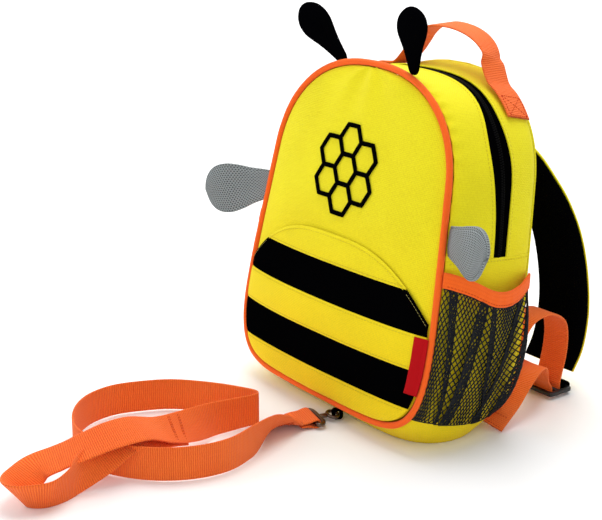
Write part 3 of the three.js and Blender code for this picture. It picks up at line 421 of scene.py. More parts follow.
yellowCloth = clothMaterial("yellowCloth", {
    # low: painted shade colour near the floor
    "cloth": (0.88, 0.80, 0.014), "low": (0.95, 0.66, 0.004), "shadeAndTone": (0.68, 0.56, 0.005), "rough": 0.9,
    "sheen": 0.05, "relief": 0.2, "specular": 0.15, "specks": 0.9, "valleyShade": 0.5}, weave, {"Threads": 84.0})
yellowPanelCloth = clothMaterial("yellowPanelCloth", {
    # low: painted shade colour near the floor
    "cloth": (0.90, 0.82, 0.016), "low": (0.98, 0.66, 0.004), "shadeAndTone": (0.68, 0.55, 0.005), "rough": 0.9,
    "sheen": 0.05, "relief": 0.22, "specular": 0.15, "specks": 1.0, "valleyShade": 0.55},
    weave, {"Threads": 78.0})
blackCloth = clothMaterial("blackCloth", {
    "cloth": (0.0009, 0.0009, 0.0012), "shadeAndTone": (0.0003, 0.0003, 0.0004), "rough": 1.0, "sheen": 0.0,
    "specular": 0.0, "relief": 0.15}, weave, {"Threads": 84.0})
blackFelt = clothMaterial("blackFelt", {
    "cloth": (0.0012, 0.0012, 0.0018), "shadeAndTone": (0.0005, 0.0005, 0.0008), "rough": 1.0, "sheen": 0.0,
    "specular": 0.0, "relief": 0.3, "specks": 0.8}, weave, {"Threads": 110.0})
# painted shade: the webbing's rib valleys are painted darker orange
orangeWebbing = clothMaterial("orangeWebbing", {
    "cloth": (1.0, 0.205, 0.030), "shadeAndTone": (0.86, 0.085, 0.010), "rough": 0.8, "sheen": 0.1, "relief": 0.55,
    "specular": 0.15, "specks": 0.3, "strength": 1.0, "valleyShade": 0.8}, ribs, {"Ribs": 66.0, "Cords": 46.0})
orangeTape = clothMaterial("orangeTape", {
    "cloth": (1.0, 0.155, 0.014), "shadeAndTone": (0.84, 0.075, 0.008), "rough": 0.8, "sheen": 0.05, "relief": 0.2,
    "specular": 0.15, "specks": 0.4, "valleyShade": 0.5}, weave, {"Threads": 110.0})
# painted shade: the spacer mesh's holes are painted dark grey
greyMesh = clothMaterial("greyMesh", {
    "cloth": (0.31, 0.345, 0.35), "shadeAndTone": (0.045, 0.055, 0.06), "rough": 0.8, "sheen": 0.1, "relief": 0.6,
    "specular": 0.15, "specks": 0.3, "strength": 1.0, "valleyShade": 1.3}, holes, {"Holes": 56.0})
blackMesh = clothMaterial("blackMesh", {
    "cloth": (0.0012, 0.0012, 0.0015), "shadeAndTone": (0.0004, 0.0004, 0.0005), "rough": 1.0, "specular": 0.0,
    "relief": 0.4}, holes, {"Holes": 50.0})
netCord = clothMaterial("netCord", {
    "cloth": (0.0055, 0.0075, 0.011), "shadeAndTone": (0.002, 0.003, 0.0045), "rough": 0.6, "specular": 0.25,
    "relief": 0.1, "specks": 0.4}, weave, {"Threads": 260.0})
labelCloth = clothMaterial("labelCloth", {
    "cloth": (0.50, 0.002, 0.006), "shadeAndTone": (0.36, 0.001, 0.003), "rough": 0.7, "sheen": 0.0, "relief": 0.1,
    "specular": 0.1, "specks": 0.3}, weave, {"Threads": 220.0})
yellowThread = clothMaterial("yellowThread", {
    "cloth": (0.74, 0.62, 0.03), "shadeAndTone": (0.5, 0.38, 0.01), "rough": 0.7, "specular": 0.1, "relief": 0.08},
    weave, {"Threads": 300.0})
paleThread = clothMaterial("paleThread", {
    "cloth": (0.42, 0.38, 0.12), "shadeAndTone": (0.25, 0.22, 0.06), "rough": 0.7, "specular": 0.1, "relief": 0.08},
    weave, {"Threads": 300.0})
orangeThread = clothMaterial("orangeThread", {
    "cloth": (0.66, 0.05, 0.008), "shadeAndTone": (0.42, 0.025, 0.004), "rough": 0.7, "specular": 0.1,
    "relief": 0.08}, weave, {"Threads": 300.0})
blackPlastic = hardMaterial("blackPlastic", {
    "light": (0.004, 0.004, 0.005), "dark": (0.002, 0.002, 0.0025), "rough": 0.5, "relief": 0.05,
    "grain": 1600.0})
coilPlastic = hardMaterial("coilPlastic", {
    "light": (0.0012, 0.0012, 0.0014), "dark": (0.0006, 0.0006, 0.0007), "rough": 0.7, "specular": 0.06,
    "relief": 0.03, "grain": 1600.0})
darkMetal = hardMaterial("darkMetal", {
    "light": (0.22, 0.16, 0.12), "dark": (0.07, 0.055, 0.045), "rough": 0.3, "metallic": 1.0, "relief": 0.02,
    "grain": 900.0})
print("materials made")


# The bag's own shape, the same curves as the solids

bag = {
    "height": 255.5, "halfWidth": 100, "shoulder": 177.8, "flare": 0.263,
    "archPower": 2.37, "cornerPower": 5.77,
    "depth": 94, "setback": 10.5, "rearNarrow": 0.983, "rearRise": 1.029, "lean": math.radians(8.74),
    "frontCrown": 11, "backCrown": 6, "sideBulge": 7, "topBulge": 4, "baseSag": 22,
    "cloth": 1.8, "gap": 0.3, "piping": 2.5, "webbing": 25, "webbingThick": 1.6,
    "zipEnd": 131, "zipFront": 0.5, "zipRear": 0.65,
}
seamClear = bag["piping"] + bag["gap"]


def stand(x, y, z, floor=0.0):
    # the bag leans back on its rear bottom edge, and nothing goes under the floor
    cos, sin = math.cos(bag["lean"]), math.sin(bag["lean"])
    up = -y * sin + z * cos + bag["depth"] / 2 * sin
    return np.stack(np.broadcast_arrays(x, y * cos + z * sin, np.maximum(up, floor)), axis=-1)


def halfWidth(v):
    v = np.clip(v, 0.2, bag["height"] - 0.2)
    above = v > bag["shoulder"]
    rise = (v - bag["shoulder"]) / (bag["height"] - bag["shoulder"])
    share = np.where(above, rise, 1 - v / bag["shoulder"])
    power = np.where(above, bag["archPower"], bag["cornerPower"])
    flare = 1 - bag["flare"] * (v - bag["shoulder"]) / bag["height"]
    return bag["halfWidth"] * flare * (1 - np.abs(share) ** power) ** (1 / power)


def seamTable():
    turn = np.linspace(0, 1, 5761)
    angle = turn * 2 * math.pi - math.pi / 2
    across, up = np.cos(angle), np.sin(angle)
    power = np.where(up >= 0, bag["archPower"], bag["cornerPower"])
    radius = (np.abs(across) ** power + np.abs(up) ** power) ** (-1 / power)
    reach = np.where(up >= 0, bag["height"] - bag["shoulder"], bag["shoulder"])
    v = bag["shoulder"] + reach * radius * up
    u = bag["halfWidth"] * (1 - bag["flare"] * (v - bag["shoulder"]) / bag["height"]) * radius * across
    along = np.concatenate([[0], np.cumsum(np.hypot(np.diff(u), np.diff(v)))])
    return along / along[-1], u, v, along[-1]


seamShare, seamU, seamV, seamLength = seamTable()


def seamAt(share):
    wrapped = share - np.floor(share)
    u, v = np.interp(wrapped, seamShare, seamU), np.interp(wrapped, seamShare, seamV)
    step = 0.0015
    ahead, behind = (wrapped + step) % 1, (wrapped - step) % 1
    du = np.interp(ahead, seamShare, seamU) - np.interp(behind, seamShare, seamU)
    dv = np.interp(ahead, seamShare, seamV) - np.interp(behind, seamShare, seamV)
    length = np.hypot(du, dv)
    return u, v, dv / length, -du / length


def shareAtHeight(height):
    half = seamShare <= 0.5
    return np.interp(height, seamV[half], seamShare[half])


def seamY(height):
    return -bag["depth"] / 2 + bag["setback"] * height / bag["height"]


def gussetPoint(share, depth):
    u, v, nu, nv = seamAt(share)
    middle = np.maximum(np.sin(math.pi * depth), 0)
    side = bag["sideBulge"] * nu ** 2 * middle ** 0.6
    top = bag["topBulge"] * np.maximum(nv, 0) ** 2 * middle ** 0.6
    sag = bag["baseSag"] * np.maximum(-nv, 0) ** 2 * middle
    bulge = side + top + sag
    front = seamY(v)
    return np.stack(np.broadcast_arrays(
        u * (1 + (bag["rearNarrow"] - 1) * depth) + nu * bulge,
        front + (bag["depth"] / 2 - front) * depth,
        v * (1 + (bag["rearRise"] - 1) * depth) + nv * bulge), axis=-1)


def gussetNormal(share, depth):
    along = gussetPoint(share + 0.003, depth) - gussetPoint(share - 0.003, depth)
    back = gussetPoint(share, np.minimum(depth + 0.02, 1)) - gussetPoint(share, np.maximum(depth - 0.02, 0))
    normal = unit(np.cross(along, back))
    _, _, nu, nv = seamAt(share)
    outward = normal[..., 0] * nu + normal[..., 2] * nv
    return np.where((outward < 0)[..., None], -normal, normal)


def gussetAt(share, depth, lift=0.0, floor=0.0):
    share, depth = np.broadcast_arrays(share, depth)
    p = gussetPoint(share, depth) + gussetNormal(share, depth) * np.asarray(lift)[..., None]
    return stand(p[..., 0], p[..., 1], p[..., 2], floor)


def depthAfterPiping(share):
    return seamClear / (bag["depth"] / 2 - seamY(seamAt(share)[1]))


def faceHalfWidth(height):
    full = bag["height"] / 2 + (height - bag["height"] / 2) / (1 - seamClear / (bag["height"] / 2))
    return halfWidth(full) * (1 - seamClear / bag["halfWidth"])


def crownAt(across, height, crown):
    side = 1 - np.minimum(np.abs(across), 1) ** 2.4
    end = 1 - np.minimum(np.abs(height / bag["height"] * 2 - 1), 1) ** 3
    return crown * side ** 0.7 * end ** 0.7


def faceAt(across, height, lift=0.0):
    across, height = np.broadcast_arrays(across, height)
    y = seamY(height) - crownAt(across, height, bag["frontCrown"]) - lift
    return stand(across * faceHalfWidth(height), y, height)


faceLow = seamClear
faceHigh = bag["height"] - seamClear


def constant(value):
    return lambda share: value + 0 * share


def easeEnds(count, tight=0.35):
    # shares from 0 to 1, closer together towards both ends
    t = np.linspace(0, 1, count)
    return t * (1 - tight) + tight * (0.5 - 0.5 * np.cos(math.pi * t))


# Stitches: short raised threads in a row along a line on the cloth

def stitchRow(line, normals, pitch=3.0, length=2.3, width=0.55, rise=0.25):
    along = lengthsAlong(line)
    count = max(int(along[-1] / pitch), 1)
    points, faces = [], []
    for k in range(count):
        middle = (k + 0.5) * along[-1] / count
        ends = [np.array([np.interp(s, along, line[:, i]) for i in range(3)])
                for s in (middle - length / 2, middle + length / 2)]
        normal = unit(np.array([np.interp(middle, along, normals[:, i]) for i in range(3)]))
        ahead = unit(ends[1] - ends[0])
        side = np.cross(normal, ahead)
        base = len(points)
        for share, grow in ((0.0, 0.35), (0.25, 1.0), (0.75, 1.0), (1.0, 0.35)):
            centre = ends[0] + (ends[1] - ends[0]) * share + normal * rise * (grow - 0.6)
            for turn in range(6):
                angle = turn * math.pi / 3
                around = side * math.cos(angle) + normal * math.sin(angle) * 0.8
                points.append(centre + grow * width / 2 * around)
        for ring in range(3):
            for turn in range(6):
                a, b = base + ring * 6 + turn, base + ring * 6 + (turn + 1) % 6
                faces.append([a, b, b + 6, a + 6])
        faces.append([base + turn for turn in reversed(range(6))])
        faces.append([base + 18 + turn for turn in range(6)])
    return points, faces


def stitchPiece(name, slotName, material, rows, **sizes):
    points, faces = [], []
    for line, normals in rows:
        p, f = stitchRow(np.asarray(line), np.asarray(normals), **sizes)
        faces += [[i + len(points) for i in face] for face in f]
        points += p
    uvs = [[(points[i][0] + points[i][1], points[i][2]) for i in face] for face in faces]
    return finishPiece(meshObject(name, points, faces, uvs), name, material)


def lineOn(surface, a, b, count=200, lift=0.0):
    # points and normals along a line on a surface; a and b are arrays or numbers
    t = np.linspace(0, 1, count)
    first = a(t) if callable(a) else np.full(count, float(a))
    second = b(t) if callable(b) else np.full(count, float(b))
    base = surface(first, second, lift)
    normal = unit(surface(first, second, lift + 1.0) - base)
    return base, normal


# Front panel and front pocket

frontPocket = {
    "archHeight": 127.5, "archDrop": 41.5, "archPower": 3, "ease": 0.8, "bulge": 2.2,
    "upperTop": 105.5, "upperBottom": 77, "lowerTop": 51, "lowerBottom": 22.5, "topStitch": 2.6,
}


def panelFolds(across, height):
    # soft pulls that fan down from the top seam, and a shallow dip on each side below it
    fan = np.sin(across * 8.5 + 2.4 * np.sin(across * 3.1)) * 1.3
    fan = fan * np.exp(-((bag["height"] - height) / 42.0) ** 1.5)
    broad = waves(across * 2.2, height / 48.0, 5) * 1.6
    ends = np.clip((bag["height"] - height) / 12, 0, 1) * np.clip(height / 12, 0, 1)
    edge = np.clip(1 - across ** 2, 0, 1) ** 0.5 * ends
    dipSide = -1.1 * np.exp(-((across - 0.5) / 0.2) ** 2 - ((height - 205) / 26) ** 2)
    dipLow = -0.9 * np.exp(-((across + 0.42) / 0.2) ** 2 - ((height - 214) / 22) ** 2)
    return (fan + broad + dipSide + dipLow) * edge


def pocketArch(across):
    return frontPocket["archHeight"] - frontPocket["archDrop"] * np.abs(across) ** frontPocket["archPower"]


def pocketArchEnd():
    # how far across the arch meets the upper stripe
    drop = (frontPocket["archHeight"] - frontPocket["upperTop"]) / frontPocket["archDrop"]
    return drop ** (1 / frontPocket["archPower"])


def pocketLift(across, height):
    side = np.maximum(1 - across ** 2, 0)
    up = np.maximum(np.sin(math.pi * np.clip(height / pocketArch(across), 0, 1)), 0)
    return bag["cloth"] + frontPocket["ease"] + frontPocket["bulge"] * side * up


def faceSheet(name, columns, rowShares, low, high, lift):
    across, share = np.meshgrid(columns, rowShares)
    height = low(across) + (high(across) - low(across)) * share
    points = faceAt(across, height, lift(across, height))
    uv = np.stack([across * faceHalfWidth(height), height], axis=-1)
    return gridObject(name, points, uv)


def seamRoll(height, low, high, depth=0.7, reach=1.6):
    # the cloth turns down towards a sewn edge
    toLow, toHigh = (height - low) / reach, (high - height) / reach
    return -depth * (np.exp(-np.maximum(toLow, 0)) + np.exp(-np.maximum(toHigh, 0)))


def makeFrontPanel():
    wide = np.sin(np.linspace(-math.pi / 2, math.pi / 2, 141))
    tall = easeEnds(201, 0.6)
    panel = faceSheet("frontPanel", wide, tall, constant(faceLow), constant(faceHigh),
                      lambda a, h: panelFolds(a, h) * np.clip((h - pocketArch(a)) / 14, 0, 1))
    wallThickness(panel, 1.2)
    finishPiece(panel, "frontPanelCloth", yellowPanelCloth, ["front_panel"])


def makeFrontPocket():
    look = frontPocket
    archEnd = pocketArchEnd()
    full = np.sin(np.linspace(-math.pi / 2, math.pi / 2, 161))
    strips = [
        ("pocketTop", "pocket_top", np.linspace(-archEnd, archEnd, 121) * 0.985, constant(look["upperTop"]),
         pocketArch, 26),
        ("pocketUpperStripe", "stripe_upper", full, constant(look["upperBottom"]),
         lambda a: np.minimum(look["upperTop"], pocketArch(a)), 34),
        ("pocketMiddle", "pocket_middle", full, constant(look["lowerTop"]),
         constant(look["upperBottom"]), 32),
        ("pocketLowerStripe", "stripe_lower", full, constant(look["lowerBottom"]),
         constant(look["lowerTop"]), 34),
        ("pocketBottom", "pocket_bottom", full, constant(faceLow), constant(look["lowerBottom"]), 26),
    ]
    for name, node, columns, low, high, rows in strips:
        black = node.startswith("stripe")
        material, slotName = (blackCloth, "black_cloth") if black else (yellowPanelCloth, "yellow_cloth")

        def lift(a, h, low=low, high=high):
            folds = 0.45 * waves(a * 3.1, h / 30.0, 9) * np.clip(1 - a ** 2, 0, 1)
            return pocketLift(a, h) + seamRoll(h, low(a), high(a)) + folds

        strip = faceSheet(name, columns, easeEnds(rows, 0.7), low, high, lift)
        wallThickness(strip, 1.1)
        finishPiece(strip, name, material, [node])


def makePocketStitching():
    def surface(a, h, lift):
        return faceAt(a, h, pocketLift(a, h) + lift)

    edge = frontPocket["topStitch"]
    archEnd = pocketArchEnd()
    yellowRows = [lineOn(surface, lambda t: (2 * t - 1) * archEnd * 0.97,
                         lambda t: pocketArch((2 * t - 1) * archEnd * 0.97) - edge, 200, 0.05)]
    fromSeam = 2.0
    for height in (frontPocket["upperTop"] + fromSeam, frontPocket["upperBottom"] - fromSeam,
                   frontPocket["lowerTop"] + fromSeam, frontPocket["lowerBottom"] - fromSeam):
        reach = archEnd * 0.96 if height > 100 else 0.975
        yellowRows.append(lineOn(surface, lambda t, reach=reach: (2 * t - 1) * reach, height, 200, 0.05))
    stitchPiece("pocketStitching", "yellow_cloth", yellowThread, yellowRows)
    blackRows = []
    for side in (-1, 1):
        blackRows.append(lineOn(surface, lambda t, side=side: side * (archEnd + (0.99 - archEnd) * t),
                                lambda t: pocketArch(archEnd + (0.99 - archEnd) * t) - edge, 60, 0.05))
    stitchPiece("stripeStitching", "yellow_cloth", paleThread, blackRows, pitch=2.4, length=2.1, width=0.34,
                rise=0.12)


makeFrontPanel()
makeFrontPocket()
makePocketStitching()
print("front made")


# Piping round the front seam: a cord in a bias strip

pipingLook = {"radius": 2.45, "around": 14, "along": 720, "wobble": 0.12}


def makePiping():
    share = np.linspace(0, 1, pipingLook["along"], endpoint=False)
    u, v, nu, nv = seamAt(share)
    angle = np.linspace(0, 2 * math.pi, pipingLook["around"], endpoint=False)[:, None]
    radius = pipingLook["radius"] + pipingLook["wobble"] * waves(share * 90, angle * 0 + 1, 3)
    out = radius * np.cos(angle)
    points = stand(u + nu * out, seamY(v) + radius * np.sin(angle), v + nv * out)
    grid = np.concatenate([points, points[:1]], axis=0)
    aroundLength = np.linspace(0, 2 * math.pi * pipingLook["radius"], pipingLook["around"] + 1)[:, None]
    alongLength = np.linspace(0, seamLength, pipingLook["along"] + 1)[None, :]
    uv = np.stack(np.broadcast_arrays(aroundLength + 0.5 * alongLength, alongLength), axis=-1)
    piping = gridObject("frontPiping", grid, uv, ring=True)
    faceOutwards(piping)
    finishPiece(piping, "frontPipingCord", orangeTape, ["front_piping"])


makePiping()
print("piping made")


# Gusset: two yellow strips with the zip between, and one panel down the sides and under the base

zipEnd = float(shareAtHeight(bag["zipEnd"]))
topDipLook = {"drop": 8.5, "reach": 0.085}


def topDip(share, depth):
    # the cloth behind the top of the arch sinks between the piping and the rear seam
    wrapped = share - np.floor(share)
    along = np.exp(-(np.abs(wrapped - 0.5) / topDipLook["reach"]) ** 2.4)
    return -topDipLook["drop"] * along * np.clip(np.sin(math.pi * depth), 0, 1) ** 0.7


def zipEdge(share, rear):
    # depth of the zip's front or rear edge; it swings forward and widens over the shoulder
    v = seamAt(share)[1]
    if rear:
        return bag["zipRear"] - 0.055 * np.exp(-((v - 225) / 26) ** 2) + 0.004
    return bag["zipFront"] - 0.10 * np.exp(-((v - 205) / 36) ** 2)


def gussetFolds(share, depth):
    # puckers along the piping, and broad dents where the arch is pulled between the zip and the seam
    v = seamAt(share)[1]
    along = share * seamLength
    fromPiping = depth * bag["depth"]
    pucker = 0.42 * np.sin(along / 1.9 + 1.3 * np.sin(along / 17.0)) * np.exp(-((fromPiping - 5) / 6.0) ** 2)
    arch = np.clip((v - 150) / 60, 0, 1)
    dents = 1.5 * waves(along / 26.0, fromPiping / 30.0, 12) * arch
    broad = 1.0 * waves(along / 45.0, fromPiping / 40.0, 21) * (1 - 0.6 * arch)
    hold = np.clip(np.minimum(fromPiping - 2.5, 93 - fromPiping) / 7, 0, 1)
    zipHold = np.clip(np.abs(depth - 0.575) / 0.12 - 0.6, 0, 1)
    low = np.clip(v / 30, 0, 1)
    return pucker * np.clip(v / 40, 0, 1) + (dents + broad) * hold * zipHold * low + topDip(share, depth)


def gussetSheet(name, start, end, columns, front, rear, rows, lift=0.0, folds=True, seamEdges=(0.0, 0.0)):
    share, row = np.meshgrid(np.linspace(start, end, columns), easeEnds(rows, 0.5))
    depth = front(share) + (rear(share) - front(share)) * row
    rise = lift + (gussetFolds(share, depth) if folds else topDip(share, depth))
    fromFront = (depth - front(share)) * bag["depth"]
    fromRear = (rear(share) - depth) * bag["depth"]
    rise = rise - seamEdges[0] * np.exp(-fromFront / 1.4) - seamEdges[1] * np.exp(-fromRear / 1.4)
    points = gussetAt(share, depth, rise, 0.0)
    uv = np.stack([share * seamLength, depth * bag["depth"]], axis=-1)
    return gridObject(name, points, uv, flip=True)


def makeGusset():
    gap = bag["gap"] / bag["depth"]
    frontStrip = gussetSheet("gussetFrontStrip", zipEnd, 1 - zipEnd, 420, depthAfterPiping,
                             lambda share: zipEdge(share, False) - gap, 40, 0.0, True, (0.8, -0.9))
    wallThickness(frontStrip, 1.2)
    finishPiece(frontStrip, "gussetFrontStrip", yellowCloth, ["gusset_front_strip"])
    rearStrip = gussetSheet("gussetRearStrip", zipEnd, 1 - zipEnd, 420,
                            lambda share: zipEdge(share, True) + gap, constant(1.0), 28, 0.0, True,
                            (-0.9, 0.6))
    wallThickness(rearStrip, 1.2)
    finishPiece(rearStrip, "gussetRearStrip", yellowCloth, ["gusset_rear_strip"])
    base = gussetSheet("baseGusset", -zipEnd, zipEnd, 520, depthAfterPiping, constant(1.0), 72, 0.0, True,
                       (0.8, 0.6))
    wallThickness(base, 1.3)
    finishPiece(base, "baseGusset", yellowCloth, ["base_gusset"])


makeGusset()
print("gusset made")


# Zip: black tape, a raised coil down its middle, and a slider with a pull at the left end

zipLook = {"pitch": 1.7, "coilWidth": 4.0, "tooth": 0.7, "tapeLift": -0.55}


def makeZip():
    tape = gussetSheet("zipTape", zipEnd, 1 - zipEnd, 420, lambda share: zipEdge(share, False),
                       lambda share: zipEdge(share, True), 16, zipLook["tapeLift"], False)
    wallThickness(tape, 0.9)
    finishPiece(tape, "zipTape", blackCloth, ["zip"])
    length = (1 - 2 * zipEnd) * seamLength
    teeth = int(length / zipLook["pitch"])
    points, faces = [], []
    share = np.linspace(zipEnd, 1 - zipEnd, teeth * 2 + 1)[1::2]
    middle = (zipEdge(share, False) + zipEdge(share, True)) / 2
    centre = gussetAt(share, middle, zipLook["tapeLift"] + 0.05 + topDip(share, middle))
    normal = unit(gussetAt(share, middle, 1.0) - gussetAt(share, middle, 0.0))
    across = unit(gussetAt(share, middle + 0.02, 0.0) - gussetAt(share, middle - 0.02, 0.0))
    ahead = np.cross(normal, across)
    for k in range(teeth):
        for side in (-1, 1):
            start = len(points)
            for i, (w, h) in enumerate(((0.1, 0.75), (0.1, 0.0), (1.0, 0.0), (1.0, 0.45), (0.55, 0.85))):
                for step in (-1, 1):
                    shift = zipLook["pitch"] * (0.3 * step + 0.25 * side)
                    points.append(centre[k] + across[k] * side * w * zipLook["coilWidth"] / 2
                                  + normal[k] * h * zipLook["tooth"] + ahead[k] * shift)
            loop = [start + 2 * i for i in range(5)]
            faces.append(loop if side > 0 else loop[::-1])
            faces.append([i + 1 for i in (loop[::-1] if side > 0 else loop)])
            for i in range(5):
                j = (i + 1) % 5
                quad = [start + 2 * i, start + 2 * i + 1, start + 2 * j + 1, start + 2 * j]
                faces.append(quad if side > 0 else quad[::-1])
    uvs = [[(points[i][0] + points[i][2], points[i][1]) for i in face] for face in faces]
    coil = meshObject("zipCoil", points, faces, uvs)
    faceOutwards(coil)
    finishPiece(coil, "zipCoil", coilPlastic, smooth=False)


def makeZipSlider():
    # a beveled body with a bridge and a hanging pull, parked at the left end of the zip
    look = {"height": 11, "width": 8.6, "thick": 2.6, "pullLength": 24, "pullWidth": 7.5}
    share = 1 - float(shareAtHeight(bag["zipEnd"] + 10))
    middle = (bag["zipFront"] + bag["zipRear"]) / 2
    place = gussetAt(np.array([share]), middle, 0.9)[0]
    normal = unit(gussetAt(np.array([share]), middle, 2.0)[0] - place)
    across = unit(gussetAt(np.array([share]), middle + 0.03, 0.9)[0] - place)
    ahead = np.cross(normal, across)
    clearSelection()
    bpy.ops.mesh.primitive_cube_add(size=1, location=(0, 0, look["thick"] / 2 * mm))
    body = bpy.context.object
    body.scale = (look["width"] * mm, look["height"] * mm, look["thick"] * mm)
    settlePlace(body)
    applyModifier(body, "BEVEL", width=0.8 * mm, segments=3, limit_method="ANGLE")
    clearSelection()
    bpy.ops.mesh.primitive_torus_add(major_radius=2.4 * mm, minor_radius=0.6 * mm, major_segments=20,
                                     minor_segments=8, location=(0, 0, look["thick"] * mm),
                                     rotation=(0, math.pi / 2, 0))
    bridge = bpy.context.object
    settlePlace(bridge)
    clearSelection()
    hang = (0, -look["pullLength"] / 2 * mm, (look["thick"] + 1.2) * mm)
    bpy.ops.mesh.primitive_cube_add(size=1, location=hang)
    pull = bpy.context.object
    pull.scale = (look["pullWidth"] * mm, look["pullLength"] * mm, 1.6 * mm)
    settlePlace(pull)
    bpy.ops.object.mode_set(mode="EDIT")
    bpy.ops.mesh.select_all(action="SELECT")
    bpy.ops.mesh.subdivide(number_cuts=3)
    bpy.ops.object.mode_set(mode="OBJECT")
    for vertex in pull.data.vertices:
        nearEnd = max(0.0, 1 + vertex.co.y / (look["pullLength"] * mm))
        vertex.co.x *= 0.75 + 0.35 * (1 - nearEnd)
    applyModifier(pull, "BEVEL", width=0.5 * mm, segments=2, limit_method="ANGLE")
    joinInto(body, (bridge, pull))
    turn = Matrix(np.column_stack([across, -ahead, normal]).tolist()).to_4x4()
    body.data.transform(Matrix.Translation(Vector(place * mm)) @ turn)
    if turn.determinant() < 0:
        faceOutwards(body)
    finishPiece(body, "zipSlider", blackPlastic, ["zip_slider"])


makeZip()
makeZipSlider()


def makeGussetStitching():
    def surface(share, depth, lift):
        return gussetAt(share, depth, lift + gussetFolds(share, depth))

    rows = []

    def overArch(t):
        return zipEnd + (1 - 2 * zipEnd) * t

    for rear, shift in ((False, -0.03), (True, 0.03)):
        rows.append(lineOn(surface, overArch,
                           lambda t, rear=rear, shift=shift: zipEdge(overArch(t), rear) + shift, 500, 0.1))
    for side in (1, -1):
        share = side * (zipEnd - 2.2 / seamLength)
        rows.append(lineOn(surface, share % 1, lambda t: 0.06 + 0.92 * t, 80, 0.1))
    stitchPiece("gussetStitching", "yellow_cloth", yellowThread, rows)


makeGussetStitching()
print("zip and stitching made")


# Back panel: padded, with a stitched frame inside its edge

backLook = {"frameInset": 0.86, "frameReach": 0.45, "channel": 0.7}


def backAt(across, height, lift=0.0):
    across, height = np.broadcast_arrays(across, height)
    y = bag["depth"] / 2 + bag["gap"] + bag["cloth"] + lift + crownAt(across, height, bag["backCrown"])
    return stand(across * halfWidth(height) * bag["rearNarrow"], y, height * bag["rearRise"])


def backFrame(t):
    # the stitched frame as shares across and up, once round
    angle = 2 * math.pi * t - math.pi / 2
    power = 6.0
    radius = (np.abs(np.cos(angle)) ** power + np.abs(np.sin(angle)) ** power) ** (-1 / power)
    across = backLook["frameInset"] * radius * np.cos(angle)
    return across, 0.5 + backLook["frameReach"] * radius * np.sin(angle)


def makeBackPanel():
    columns = np.sin(np.linspace(-math.pi / 2, math.pi / 2, 121))
    across, share = np.meshgrid(columns, easeEnds(161, 0.6))
    height = share * bag["height"]
    inside = np.maximum(np.abs(across) / backLook["frameInset"], np.abs(share - 0.5) / backLook["frameReach"])
    channel = -backLook["channel"] * np.exp(-((inside - 1) / 0.02) ** 2)
    soft = 0.5 * waves(across * 2.5, height / 40.0, 31) * np.clip((1 - np.abs(across)) * 8, 0, 1)
    points = backAt(across, height, channel + soft - 0.3)
    uv = np.stack([-across * 95, height], axis=-1)
    panel = gridObject("backPanel", points, uv, flip=True)
    wallThickness(panel, 1.3)
    finishPiece(panel, "backPanelCloth", yellowPanelCloth, ["back_panel"])
    frame = lineOn(lambda a, b, lift: backAt(a, b * bag["height"], lift - 0.9),
                   lambda t: backFrame(t)[0], lambda t: backFrame(t)[1], 500, 0.1)
    stitchPiece("backStitching", "yellow_cloth", yellowThread, [frame])


makeBackPanel()
print("back made")


# Honeycomb patch: seven open cells in raised black flock on the front

combLook = {"cell": 22.0, "stroke": 3.4, "height": 176.0, "thick": 1.1, "lift": 0.35}


def makeHoneycomb():
    apothem = combLook["cell"] / 2
    inner = (apothem - combLook["stroke"] / 2) / math.cos(math.pi / 6)
    outer = (apothem + combLook["stroke"] / 2) / math.cos(math.pi / 6)
    centres = [(0.0, 0.0)] + [(combLook["cell"] * math.cos(math.pi / 6 + k * math.pi / 3),
                               combLook["cell"] * math.sin(math.pi / 6 + k * math.pi / 3)) for k in range(6)]
    parts = []
    for n, (cx, cy) in enumerate(centres):
        rings = []
        profile = [(inner, 0.0), (inner + 0.15, combLook["thick"] * 0.8), (inner + 0.6, combLook["thick"]),
                   (outer - 0.6, combLook["thick"]), (outer - 0.15, combLook["thick"] * 0.8), (outer, 0.0)]
        turn = np.linspace(0, 2 * math.pi, 97)[:-1]
        corner = (turn / (math.pi / 3)) % 1
        edge = math.cos(math.pi / 6) / np.cos((corner - 0.5) * math.pi / 3)
        soft = edge * 0.94 + 0.0576    # rounds the corners a little
        for radius, rise in profile:
            x = cx + radius * soft * np.cos(turn)
            y = combLook["height"] + cy + radius * soft * np.sin(turn)
            across = x / faceHalfWidth(y)
            rings.append(faceAt(across, y, combLook["lift"] + 0.02 * n + rise + panelFolds(across, y)))
        grid = np.stack(rings + [rings[0]], axis=0)
        u = np.tile([[radius] for radius, _ in profile + [profile[0]]], (1, 97))
        v = np.tile(np.linspace(0, 70, 97), (7, 1))
        parts.append(gridObject("cell", grid, np.stack([u, v], axis=-1), ring=True))
    for part in parts:
        faceOutwards(part)
    joinInto(parts[0], parts[1:])
    finishPiece(parts[0], "honeycombPatch", blackFelt, ["honeycomb_patch"])


makeHoneycomb()


# Bare label folded into the right piping

labelLook = {"width": 10.5, "height": 42.0, "middle": 55.0, "thick": 0.9, "edge": 1.026,
             "hem": 1.3}


def labelAt(share, row, lift):
    height = labelLook["middle"] + (row - 0.5) * labelLook["height"]
    across = labelLook["edge"] - (1 - share) * labelLook["width"] / faceHalfWidth(height)
    curl = 0.5 * np.sin(math.pi * row) ** 0.5 + 0.35 * waves(row * 4, share, 3)
    return faceAt(across, height, pocketLift(np.minimum(across, 1), height) + 1.2 + curl * (1 - share) + lift)


